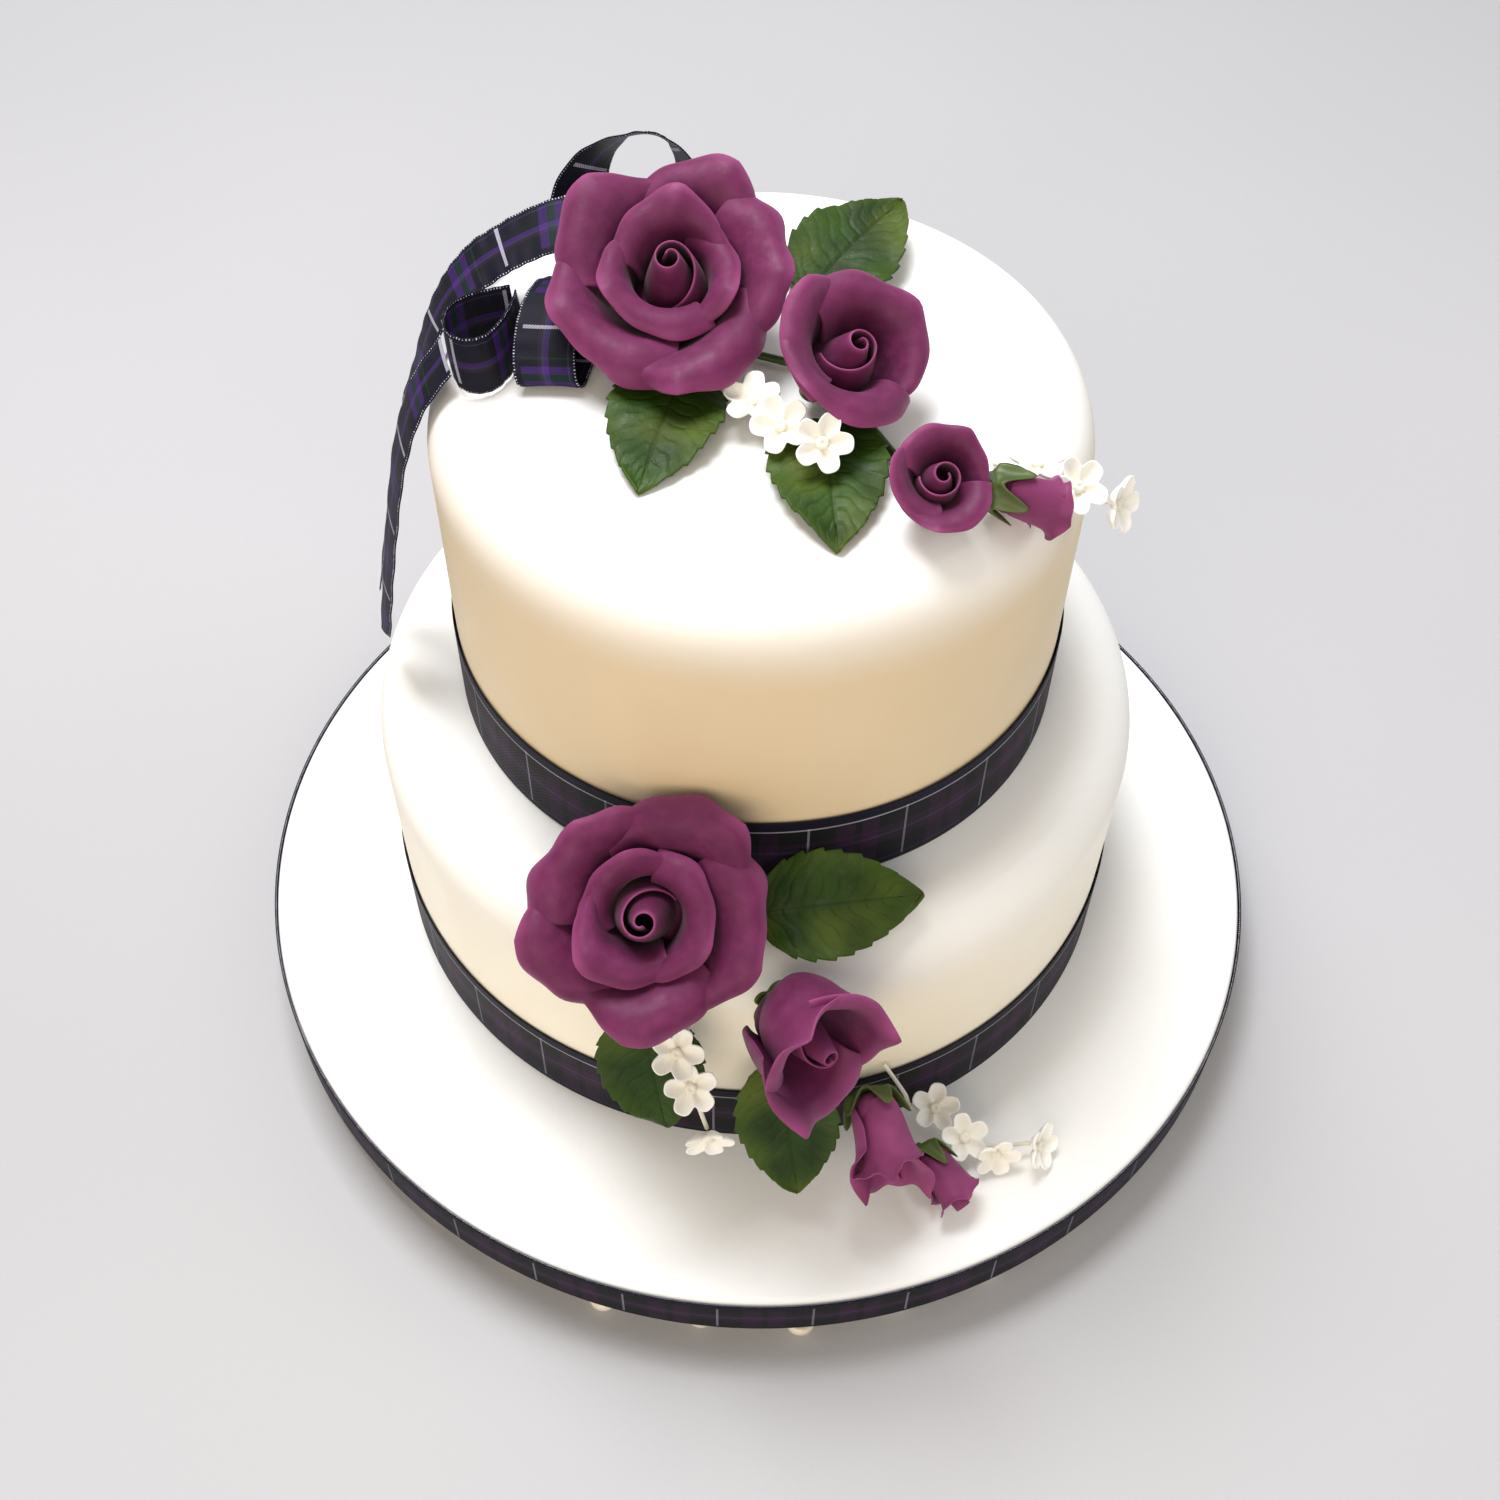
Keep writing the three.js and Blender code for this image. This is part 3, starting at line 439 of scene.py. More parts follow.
def thin_sheet(surface, counts, rims, thickness, taper=0, **layers):
    """A closed sheet of rounded rims about surface(u, v), u from -1 to 1 and v from 0 to 1.

    It thins by taper towards v = 1. Each layer is a function of u and v, and rim is v itself if
    no other is given.
    """
    us, vs = (rim_places(low, count, rim) for low, count, rim in zip((-1, 0), counts, rims))
    u, v = np.meshgrid(us, vs)
    middle = surface(u, v)
    normals = unit(np.cross(np.gradient(middle, axis=1), np.gradient(middle, axis=0)))
    swell = np.outer(rounding(vs, rims[1]), rounding(us, rims[0])) * (1 - taper * v ** 2)
    offset = normals * (thickness / 2 * swell)[..., None]
    spot = np.arange(u.size).reshape(u.shape)
    behind = spot.copy()
    inner = behind[1:-1, 1:-1]
    inner[:] = u.size + np.arange(inner.size).reshape(inner.shape)
    front, back = (
        np.stack([g[:-1, :-1], g[:-1, 1:], g[1:, 1:], g[1:, :-1]], -1).reshape(-1, 4) for g in (spot, behind)
    )

    def both(on_front, on_back):
        tail = on_front.shape[2:]
        return np.concatenate([on_front.reshape(-1, *tail), on_back[1:-1, 1:-1].reshape(-1, *tail)])

    faces = np.concatenate([front, back[:, ::-1]])
    shell = {"points": both(middle + offset, middle - offset), "faces": faces}
    for name, layer in {"rim": lambda u, v: v, **layers}.items():
        shell[name] = both(layer(u, v), layer(u, v))
    return shell


def turned(profile, sides, rim=0):
    """A closed shape turned about Z from [radius, height] pairs, the first and last being its poles."""
    profile = np.array(profile, float)
    ring = profile[1:-1]
    points = polar(ring[:, :1], circle(sides), ring[:, 1:]).reshape(-1, 3)
    poles = [[0, 0, profile[0, 1]], [0, 0, profile[-1, 1]]]
    first, last = len(points), len(points) + 1
    bottom, top = np.arange(sides), np.arange(first - sides, first)
    return {
        "points": np.concatenate([points, poles]), "faces": tube_faces(len(ring), sides),
        "caps": np.concatenate([fan(first, bottom, flipped=True), fan(last, top)]),
        "rim": np.full(last + 1, float(rim)),
    }


def joined(shells):
    """Several shells as one, with their rim layers kept."""
    whole = {"points": [], "faces": [], "caps": [], "rim": []}
    start = 0
    for shell in shells:
        count = len(shell["points"])
        whole["points"].append(shell["points"])
        whole["faces"].append(shell["faces"] + start)
        whole["caps"].append(shell.get("caps", np.zeros((0, 3), int)) + start)
        whole["rim"].append(shell.get("rim", np.zeros(count)))
        start += count
    return {key: np.concatenate(parts) for key, parts in whole.items()}


def moved(shell, axes, base):
    """The shell with its own axes turned to the given ones and set at base."""
    return {**shell, "points": shell["points"] @ np.stack(axes) + np.array(base, float)}


def standing(shell, base, axis, spin=0):
    """The shell with its own Z along axis, spun about it."""
    z = unit(axis)
    x = unit(np.array([1.0, 0, 0]) - z[0] * z)
    turn = math.radians(spin)
    across = x * math.cos(turn) + np.cross(z, x) * math.sin(turn)
    return moved(shell, (across, np.cross(z, across), z), base)


def make_piece(name, shell, finish, node):
    """One smooth mesh from a shell, which rides on the body and stands for its CAD node."""
    faces = shell["faces"].tolist() + shell.get("caps", np.zeros((0, 3), int)).tolist()
    mesh = bpy.data.meshes.new(name)
    mesh.from_pydata((shell["points"] * MM).tolist(), [], faces)
    for layer in ("rim", "vein"):
        if np.any(shell.get(layer, 0)):
            values = shell[layer].astype(np.float32)
            mesh.attributes.new(layer, "FLOAT", "POINT").data.foreach_set("value", values)
    if "cloth" in shell:
        corners = np.zeros(len(mesh.loops), int)
        mesh.loops.foreach_get("vertex_index", corners)
        flat = (shell["cloth"] * MM).astype(np.float32)[corners]
        mesh.uv_layers.new(name="cloth").data.foreach_set("uv", flat.reshape(-1))
    mesh.shade_smooth()
    mesh.materials.append(finish)
    made = linked(name, mesh)
    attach(made, "root")
    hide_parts(node)
    return made


# ---- stand, board and tiers

def arc(centre, radius, start, end, count):
    """Points round a corner of a profile, from one angle to another."""
    angles = np.radians(np.linspace(start, end, count))
    return (np.array(centre) + radius * np.stack([np.cos(angles), np.sin(angles)], -1)).tolist()


def stand_outline(angle):
    """How far the foot reaches at each angle: round lobes on a plain rim, small ones between large."""
    reach = np.full(angle.shape, float(STAND["rim"]))
    for i in range(STAND["lobes"]):
        turn = math.radians(-90 + STAND["first_lobe"] + i * 360 / STAND["lobes"])
        middle = STAND["reach" if i % 2 == 0 else "small_reach"] - STAND["lobe_radius"]
        inside = STAND["lobe_radius"] ** 2 - (middle * np.sin(angle - turn)) ** 2
        lobe = middle * np.cos(angle - turn) + np.sqrt(np.maximum(inside, 0))
        on_lobe = (inside > 0) & (np.cos(angle - turn) > 0)
        reach = np.where(on_lobe, np.maximum(reach, lobe), reach)
    return reach


def make_stand(finish):
    """A thin foot edged with lobes, under a waist and a plate."""
    angles = circle(1440)
    reach = stand_outline(angles)
    foot, waist, plate, bore, edge = (STAND[key] for key in ("foot", "waist", "plate", "bore", "round"))
    blunt = 0.35
    section = [
        (bore, 0), (reach - edge, 0), (reach - blunt, blunt), (reach, 1.1), (reach, foot - 1.1),
        (reach - blunt, foot - blunt), (reach - edge, foot), (reach - 2 * edge, foot - blunt),
        (bore, foot - blunt),
    ]
    points = np.concatenate([polar(r, angles, z) for r, z in section])
    foot_ring = {"points": points, "faces": tube_faces(len(section), len(angles), closed=True)}
    top = STAND["height"] - GAP
    under = top - STAND["plate_thickness"]
    profile = [
        [0, 0.4], [bore + 1, 0.4], [waist, 1.5], [waist, foot - 0.6], [waist + 0.4, foot + 0.6],
        [waist + 1.6, under - 0.4], [waist + 4, under], [plate - 2, under + 0.5],
        *arc((plate - edge, top - 1.4), edge, -60, 90, 9),
        [plate - 5, top - 0.2], [plate - 7, top - blunt], [0, top - blunt],
    ]
    shell = joined([foot_ring, turned(profile, 240)])
    shell["points"] = shell["points"] - np.array([0, STAND["forward"], 0])
    make_piece("lobed_stand", shell, finish, "stand")


def make_board(paper, icing):
    """The drum, and its icing rolled over the edge."""
    low = STAND["height"]
    split = BOARD_TOP - BOARD["icing"]
    under = split - GAP
    radius, edge, blunt = BOARD["radius"], BOARD["edge"], BOARD["blunt"]
    drum = [
        [0, low], [radius - blunt, low], *arc((radius - blunt, low + blunt), blunt, -90, 0, 5),
        [radius, under - blunt / 2], [radius - blunt / 2, under], [0, under],
    ]
    make_piece("cake_drum", turned(drum, 240), paper, "board_drum")
    top = [
        [0, split], [radius - 0.3, split], [radius, split + 0.2],
        *arc((radius - edge, BOARD_TOP - edge), edge, 0, 90, 12),
        *([r, BOARD_TOP] for r in (145, 130, 115, 95, 60, 30, 0)),
    ]
    make_piece("drum_icing", hand_smoothed(turned(top, 300), 5, 0.12), icing, "board_icing")


def hand_smoothed(shell, seed, depth):
    """Long, faint swells left by the icing smoother, pressing the sides in and the top down, the sideways
    push fading out near the axis.
    """
    swells = 5
    p = shell["points"]
    push = np.zeros(len(p))
    for k in range(swells):
        way = unit([chance(seed + start + k) - 0.5 for start in (0, 11, 23)])
        pace = mix(0.035, 0.08, chance(seed + 31 + k))
        push += np.sin(p @ way * pace + 6 * chance(seed + 41 + k)) * depth / swells
    push = np.abs(push)
    radial = p * [1, 1, 0]
    near_axis = np.clip(np.linalg.norm(radial, axis=1) / 40, 0, 1)
    on_top = p[:, 2] - p[:, 2].min() > 0.98 * np.ptp(p[:, 2])
    p = p - unit(radial) * (push * near_axis)[:, None]
    p[:, 2] -= push * on_top
    return {**shell, "points": p}


def make_tier(name, tier, floor, finish, node, seed):
    """One iced cake: an upright wall that turns over a soft shoulder to a level top."""
    radius, height, shoulder = tier["radius"], tier["height"], tier["shoulder"]
    top = floor + height
    foot = 0.6
    profile = [
        [0, floor + GAP], [radius - foot, floor + GAP],
        *([radius, z] for z in np.linspace(floor + GAP + foot, top - shoulder, 24)),
        *arc((radius - shoulder, top - shoulder), shoulder, 3, 90, 26),
        *([r, top] for r in np.linspace(radius - shoulder - 3, 4, 14)), [0, top],
    ]
    shell = hand_smoothed(turned(profile, 260), seed, 0.3)
    shell["points"] = shell["points"] + np.array([*tier["centre"], 0])
    make_piece(name, shell, finish, node)


# ---- stitches and ribbon bands

def stitches_tree():
    """Builds the tree that sets stitches along a line, each one turned to follow it."""
    tree = bpy.data.node_groups.new("stitches_along_line", "GeometryNodeTree")
    for name, kind in (
        ("Line", "Geometry"), ("Pitch", "Float"), ("Stitch Along", "Float"), ("Stitch Across", "Float"),
        ("Height", "Float"), ("Thread", "Material"), ("Seed", "Int"),
    ):
        tree.interface.new_socket(name, in_out="INPUT", socket_type="NodeSocket" + kind)
    tree.interface.new_socket("Stitches", in_out="OUTPUT", socket_type="NodeSocketGeometry")

    def add(kind, values=(), **settings):
        return add_node(tree, kind, values, **settings).outputs

    given = add("NodeGroupInput")
    curve = add("GeometryNodeMeshToCurve", {0: given["Line"]})
    even = add("GeometryNodeResampleCurve", {"Curve": curve[0], "Length": given["Pitch"]}, mode="LENGTH")
    ahead = add("GeometryNodeInputTangent")
    across = add("GeometryNodeInputNamedAttribute", {"Name": "across"}, data_type="FLOAT_VECTOR")
    axes = {"Primary Axis": ahead[0], "Secondary Axis": across[0]}
    turn = add("FunctionNodeAxesToRotation", axes, primary_axis="X", secondary_axis="Y")
    bead = add("GeometryNodeMeshIcoSphere", {"Radius": 1, "Subdivisions": 1})
    sides = {"X": given["Stitch Along"], "Y": given["Stitch Across"], "Z": given["Height"]}
    size = add("ShaderNodeCombineXYZ", sides)
    uneven = add("FunctionNodeRandomValue", {2: 0.85, 3: 1.15, "Seed": given["Seed"]})
    scaled = add("ShaderNodeVectorMath", {0: size[0], "Scale": uneven[1]}, operation="SCALE")
    row = add("GeometryNodeInstanceOnPoints", {
        "Points": even[0], "Instance": bead["Mesh"], "Rotation": turn[0], "Scale": scaled[0],
    })
    real = add("GeometryNodeRealizeInstances", {0: row[0]})
    coated = add("GeometryNodeSetMaterial", {"Geometry": real[0], "Material": given["Thread"]})
    add("NodeGroupOutput", {0: coated[0]})
    return tree


STITCHES = stitches_tree()
THREAD = thread_finish()
PICOT = {"Pitch": 0.78 * MM, "Stitch Along": 0.24 * MM, "Stitch Across": 0.34 * MM, "Height": 0.3 * MM}
TACKING = {"Pitch": 0.95 * MM, "Stitch Along": 0.38 * MM, "Stitch Across": 0.2 * MM, "Height": 0.14 * MM}


def stitched(name, lines, sizes, seed):
    """Stitches along several lines of (places, directions across), as one plain mesh."""
    points, edges, across = [], [], []
    for places, sides in lines:
        first = len(points)
        points += (places * MM).tolist()
        across += sides.tolist()
        edges += [(i, i + 1) for i in range(first, len(points) - 1)]
    mesh = bpy.data.meshes.new(name + "_line")
    mesh.from_pydata(points, edges, [])
    mesh.attributes.new("across", "FLOAT_VECTOR", "POINT").data.foreach_set("vector", np.ravel(across))
    carrier = linked(name + "_line", mesh)
    modifier = carrier.modifiers.new("stitches", "NODES")
    modifier.node_group = STITCHES
    known = {item.name: item.identifier for item in STITCHES.interface.items_tree if item.in_out == "INPUT"}
    for key, value in {**sizes, "Thread": THREAD, "Seed": seed}.items():
        modifier[known[key]] = value
    bpy.context.view_layer.update()
    settled = carrier.evaluated_get(bpy.context.evaluated_depsgraph_get())
    plain = bpy.data.meshes.new_from_object(settled)
    plain.name = name
    plain.shade_smooth()
    bpy.data.objects.remove(carrier)
    made = linked(name, plain)
    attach(made, "root")
    return made


def edge_lines(surface, outward, spots, steps):
    """Lines along a ribbon at the given places across it, with the direction across, a little proud."""
    v = np.linspace(0.0005, 0.9995, steps)
    lines = []
    for spot in spots:
        here, beside = (surface(np.full(steps, u), v) for u in (spot, spot * 0.97))
        side = unit((here - beside) * np.sign(spot))
        ahead = unit(np.gradient(here, axis=0))
        lines.append((here + unit(np.cross(ahead, side)) * outward, side))
    return lines


def make_band(name, radius, low, width, centre, finish, node, seed):
    """A ribbon wrapped round a wall, whose end is stuck down over its beginning at the back."""
    middle = radius + GAP + BAND["thickness"] / 2 + 0.05
    whole = 2 * math.pi + BAND["overlap"] / radius
    rise = BAND["thickness"] + 0.1
    step_start, step = 0.09, 0.08    # radians before a full turn, and over which the end climbs

    def surface(u, v):
        along = v * whole
        lifted = np.clip((along - 2 * math.pi + step_start) / step, 0, 1)
        r = middle + rise * lifted * lifted * (3 - 2 * lifted)
        height = low + width / 2 * (1 - u)
        return polar(r, math.radians(BAND["start"]) + along, height) + np.array([*centre, 0])

    def cloth(u, v):
        return np.stack([(u + 1) / 2 * width, v * whole * middle], -1)

    shell = thin_sheet(surface, (5, 361), (0.03, 0.0003), BAND["thickness"], cloth=cloth)
    band = make_piece(name, shell, finish, node)
    if width == BAND["width"]:
        lines, sizes = edge_lines(surface, BAND["thickness"] / 2, (-0.72, 0.81), 700), TACKING
    else:
        lines, sizes = edge_lines(surface, 0.1, (-0.95, 0.95), 900), PICOT
    trim = stitched(name + "_stitches", lines, sizes, seed)


# ---- bow

def spline(points, places):
    """Points of a centripetal curve through the given points, at places from 0 to 1."""
    p = np.array(points, float)
    known = np.vstack([2 * p[0] - p[1], p, 2 * p[-1] - p[-2]])
    spot = np.clip(np.ravel(places), 0, 1) * (len(p) - 1)
    i = np.minimum(spot.astype(int), len(p) - 2)
    w = (spot - i)[:, None]
    a, b, c, d = (known[i + k] for k in range(4))
    first, second, third = (np.sum((y - x) ** 2, 1)[:, None] ** 0.25 for x, y in ((a, b), (b, c), (c, d)))
    near = 1e-4
    second = np.where(second < near, 1, second)
    first = np.where(first < near, second, first)
    third = np.where(third < near, second, third)
    start = ((b - a) / first - (c - a) / (first + second) + (c - b) / second) * second
    end = ((c - b) / second - (d - b) / (second + third) + (d - c) / third) * second
    made = b + start * w + (3 * (c - b) - 2 * start - end) * w ** 2 + (2 * (b - c) + start + end) * w ** 3
    return made.reshape(*np.shape(places), 3)


def make_bow_ribbon(node, route, finish, seed, pointed):
    """A length of ribbon along a route of (middle, direction across), a little cupped.

    The far end of a pointed one is cut on a slant.
    """
    name = node.replace("bow_", "ribbon_")
    places, sides = zip(*route)
    fine = np.linspace(0, 1, 400)
    line = spline(places, fine)
    run = np.concatenate([[0], np.cumsum(np.linalg.norm(np.diff(line, axis=0), axis=1))])
    headings = unit(np.gradient(line, axis=0))
    slant = BOW["slant"] * pointed

    def surface(u, v):
        middle = spline(places, np.clip(v + slant * (u - 1) * v ** 6, 0, 1))
        side = unit(spline(sides, v))
        ahead = np.stack([np.interp(v, fine, headings[:, k]) for k in range(3)], -1)
        bow = BOW["cup"] * (1 - u * u) + BOW["wave"] * np.sin(9 * v * len(places) + seed) * u
        return middle + side * u[..., None] * BOW["width"] / 2 + unit(np.cross(side, ahead)) * bow[..., None]

    def cloth(u, v):
        return np.stack([(u + 1) / 2 * BOW["width"], np.interp(v, fine, run)], -1)

    length, thickness = run[-1], BOW["thickness"]
    steps = int(length / 0.7)
    shell = thin_sheet(surface, (9, steps), (0.03, thickness / 2 / length), thickness, cloth=cloth)
    ribbon = make_piece(name, shell, finish, node)
    trim = stitched(name + "_stitches", edge_lines(surface, 0, (-0.95, 0.95), steps), PICOT, seed)


def make_knot(finish):
    """The tie that gathers the loops, a narrow fold of ribbon wound round them."""
    wound = KNOT["turns"] * 2 * math.pi
    length = wound * KNOT["radius"]

    def surface(u, v):
        r = KNOT["radius"] - 0.5 * (1 - u * u) + 0.25 * v + 0.12 * np.sin(14 * u)
        x, z, y = np.moveaxis(polar(r, v * wound, u * KNOT["half"]), -1, 0)
        return np.array(KNOT["place"]) + np.stack([x, y, z], -1)

    def cloth(u, v):
        return np.stack([(BOW["width"] + u * KNOT["ribbon"]) / 2, v * length], -1)

    shell = thin_sheet(surface, (24, 60), (0.03, 0.01), BOW["thickness"], cloth=cloth)
    knot = make_piece("ribbon_knot", shell, finish, "bow_knot")


# ---- sugar roses

EASED_ROLL = 30                  # how much less a petal rolls back at its corner
ROLL_START = 0.6                 # share of a petal's length at which its roll begins
PETAL = {"corner": 0.3, "eased": 0.2, "fall": 1.6, "root": 0.7, "waves": 5.2, "frills": 15, "frill": 0.4}


def petal_line(petal, unrolled):
    """Radius, height and lean along a petal's middle line; unrolled eases the roll at its rim."""
    places = np.linspace(0, 1, 241)
    middles = (places[1:] + places[:-1]) / 2
    lean = np.interp(middles, *np.array(petal["lean"], float).T)
    lean = lean + unrolled * np.clip((middles - ROLL_START) / (1 - ROLL_START), 0, 1)
    step = petal["length"] / len(middles)
    lines = [
        start + np.concatenate([[0], np.cumsum(step * way(np.radians(lean)))])
        for start, way in zip(petal["foot"], (np.cos, np.sin))
    ]
    lines.append(np.radians(np.interp(places, middles, lean)))
    return lambda v: [np.interp(v, places, line) for line in lines]


def petal_shell(petal, corner_at, seed):
    """A cupped petal round the flower's axis, rolled back at its rim and pinched to a corner."""
    rolled, eased = petal_line(petal, 0), petal_line(petal, EASED_ROLL)
    flat, tuck, (foot_radius, foot_height) = petal["flat"], petal["tuck"], petal["foot"]
    spread = math.radians(petal["spread"])
    lift = mix(-0.5, 0.5, chance(seed + 31)) * petal["uneven"]
    corner = mix(-0.22, 0.12, chance(seed + 57))
    turn = math.radians(corner_at) - corner * spread
    phase = 6 * chance(seed + 71)

    def surface(u, v):
        away = np.abs(u - corner)
        peak = petal["point"] * np.maximum(0, 1 - away / PETAL["corner"]) ** 1.4 * v ** 3
        size = 1 - petal["round"] * away ** PETAL["fall"] + peak
        ease = bell(away, PETAL["eased"]) * v ** 2
        r, z, lean = (mix(a, b, ease) for a, b in zip(rolled(v), eased(v)))
        r = mix(foot_radius, r, size)
        z = mix(foot_height, z, size)
        width = mix(PETAL["root"], 1, np.sin(math.pi / 2 * np.minimum(1, 2 * v)))
        wave = v ** 3 * np.sin(PETAL["waves"] * u + phase)
        frill = PETAL["frill"] * v ** 8 * np.sin(PETAL["frills"] * u + 2.3 * phase)
        push = tuck * u + petal["ripple"] * (wave + frill)
        reach = r + flat + push * np.sin(lean)
        off_axis = flat * np.array([math.cos(turn), math.sin(turn), 0])
        return polar(reach, turn + u * spread * width, z - push * np.cos(lean) + lift * v) - off_axis

    return thin_sheet(surface, (44, 40), (0.03, 0.02), petal["thickness"], taper=0.62)


def scroll_shell(scroll):
    """The rolled-up heart of a flower: one petal wound outwards, whose rim falls away at its end."""
    low, top = scroll["low"], scroll["top"]
    fall_start = 0.7

    def surface(u, v):
        along = (u + 1) / 2
        fall = scroll["fall"] * np.clip((along - fall_start) / (1 - fall_start), 0, 1) ** 1.5
        height = mix(low, top - scroll["drop"] * along - fall, v)
        share = ((height - low) / (top - low)) ** scroll["hollow"]
        r = mix(mix(*scroll["foot"], along), mix(*scroll["mouth"], along), share)
        return polar(r, np.radians(scroll["start"] + along * scroll["turns"] * 360), height)

    return thin_sheet(surface, (130, 26), (0.01, 0.025), scroll["thickness"], taper=0.4)


def flower_shell(plan):
    """A turned core, a scroll in it and rings of petals round it, with the painted shade at the feet of its
    petals lifted by the plan's share.
    """
    core = spline([[r, z, 0] for r, z in plan["core"]], np.linspace(0, 1, 8 * len(plan["core"])))
    shells = [turned(core[:, :2].clip(0), 40), scroll_shell(plan["scroll"])]
    for ring in plan["rings"]:
        for i, (corner_at, size) in enumerate(ring["corners"]):
            petal = {**ring, "length": ring["length"] * size}
            shells.append(petal_shell(petal, corner_at, ring["seed"] + i))
    whole = joined(shells)
    whole["points"] = whole["points"] * plan.get("stretch", 1)
    # Painted shade: the share given in the plan lifts the dark foot of the rim ramp, for buds whose outer
    # sides show.
    whole["rim"] = 1 - (1 - whole["rim"]) * (1 - plan.get("shade_lift", 0))
    return whole


# A core is [radius, height] pairs. A ring's corners are the direction and size of each petal, and its
# lean is the slope of a petal's middle line at shares of its length.
LARGE_ROSE = {
    "stretch": (0.97, 1.03, 1),
    "core": [[0, 0], [5, 0.3], [9.8, 4], [10.6, 8], [9, 11.5], [0, 13]],
    "scroll": {"foot": (5.4, 9.4), "mouth": (0.7, 5), "hollow": 1.2, "turns": -1.75, "start": 165,
               "low": 9, "top": 28.5, "drop": 2.5, "fall": 10, "thickness": 0.935},
    "rings": [
        {"corners": ((82, 1.1), (209, 1.14), (338, 1)), "seed": 1, "foot": (8.6, 8), "length": 20.5,
         "spread": 93, "flat": 0.5, "tuck": -2, "round": 0.36, "point": 0.07, "uneven": 2,
         "lean": [[0, 72], [0.3, 88], [0.6, 74], [0.8, 20], [1, -60]], "thickness": 1.2, "ripple": 0.9},
        {"corners": ((60, 1), (134, 0.98), (207, 1.06), (276, 1.1), (356, 0.97)), "seed": 21,
         "foot": (9.4, 5), "length": 31, "spread": 57, "flat": 2.5, "tuck": -3.2, "round": 0.34,
         "point": 0.055, "uneven": 2.4, "thickness": 1.2, "ripple": 1.3,
         "lean": [[0, 40], [0.25, 62], [0.55, 58], [0.75, 25], [0.9, -30], [1, -75]]},
    ],
}
MEDIUM_ROSE = {
    "core": [[0, 0], [3.6, 0.2], [7.4, 3.4], [8.6, 6.5], [7.4, 9.5], [0, 11]],
    "scroll": {"foot": (5, 8), "mouth": (0.7, 4.6), "hollow": 1.2, "turns": -1.75, "start": 90,
               "low": 7, "top": 21.5, "drop": 1.5, "fall": 7, "thickness": 0.85},
    "rings": [
        {"corners": ((42, 1), (134, 0.96), (228, 1.04)), "seed": 51, "foot": (6.2, 4.6), "length": 23,
         "spread": 92, "flat": 0.5, "tuck": -2.4, "round": 0.3, "point": 0.06, "uneven": 1,
         "lean": [[0, 40], [0.3, 74], [0.6, 66], [0.8, 20], [1, -60]], "thickness": 1.12, "ripple": 0.7},
    ],
}
GOBLET_ROSE = {
    "shade_lift": 0.6,
    "core": [[0, 0], [4, 0.2], [7.8, 3.4], [8.4, 7], [7, 10], [0, 12]],
    "scroll": {"foot": (4.6, 6.4), "mouth": (0.7, 3.4), "hollow": 1.2, "turns": -1.6, "start": 330,
               "low": 8, "top": 25, "drop": 1.5, "fall": 8, "thickness": 0.85},
    "rings": [
        {"corners": ((2, 1), (122, 0.96), (236, 1.04)), "seed": 81, "foot": (7.6, 4), "length": 26,
         "spread": 80, "flat": 0.5, "tuck": -2.4, "round": 0.3, "point": 0.14, "uneven": 1.5,
         "lean": [[0, 40], [0.2, 66], [0.5, 84], [0.75, 76], [0.9, 30], [1, -30]],
         "thickness": 1.12, "ripple": 0.4},
    ],
}
SMALL_ROSE = {
    "core": [[0, 0], [2.6, 0.2], [4.4, 2.2], [4.6, 4.6], [0, 7]],
    "scroll": {"foot": (3.4, 5), "mouth": (0.6, 4.6), "hollow": 1.2, "turns": -1.6, "start": 30,
               "low": 4, "top": 13.5, "drop": 1.5, "fall": 3, "thickness": 0.765},
    "rings": [
        {"corners": ((62, 1), (168, 0.96), (265, 1.04)), "seed": 91, "foot": (3.9, 3), "length": 13,
         "spread": 88, "flat": 0.3, "tuck": -1.7, "round": 0.25, "point": 0.08, "uneven": 0.8,
         "lean": [[0, 40], [0.3, 66], [0.6, 60], [0.85, 10], [1, -40]], "thickness": 0.88, "ripple": 0.45},
    ],
}
SLIM_BUD = {
    "shade_lift": 0.9,
    "core": [[0, 0], [2.6, 0.3], [4.4, 2.4], [4.2, 6], [0, 9]],
    "scroll": {"foot": (2, 3.2), "mouth": (1.2, 3.8), "hollow": 1, "turns": -1.3, "start": 60,
               "low": 4, "top": 19, "drop": 0.5, "fall": 2, "thickness": 0.765},
    "rings": [
        {"corners": ((80, 1), (262, 0.86)), "seed": 95, "foot": (4, 2.4), "length": 15, "spread": 108,
         "flat": 0, "tuck": -0.7, "round": 0.04, "point": 0.05, "uneven": 1,
         "lean": [[0, 76], [0.3, 86], [0.75, 82], [0.9, 50], [1, 10]], "thickness": 0.8, "ripple": 0.5},
    ],
}
FULL_BUD = {
    "shade_lift": 1,
    "core": [[0, 0], [3, 0.3], [5.2, 3], [5.2, 7], [0, 11]],
    "scroll": {"foot": (2.4, 4.4), "mouth": (2, 5.6), "hollow": 1, "turns": -1.4, "start": 240,
               "low": 6, "top": 22, "drop": 1, "fall": 3, "thickness": 0.765},
    "rings": [
        {"corners": ((95, 1), (215, 0.95), (335, 1.05)), "seed": 101, "foot": (4.7, 3), "length": 24,
         "spread": 84, "flat": 0, "tuck": -1.9, "round": 0.2, "point": 0.12, "uneven": 1.5,
         "lean": [[0, 76], [0.3, 86], [0.65, 78], [0.88, 56], [1, 0]], "thickness": 0.96, "ripple": 0.7},
    ],
}


# ---- calyxes, leaves, blossoms

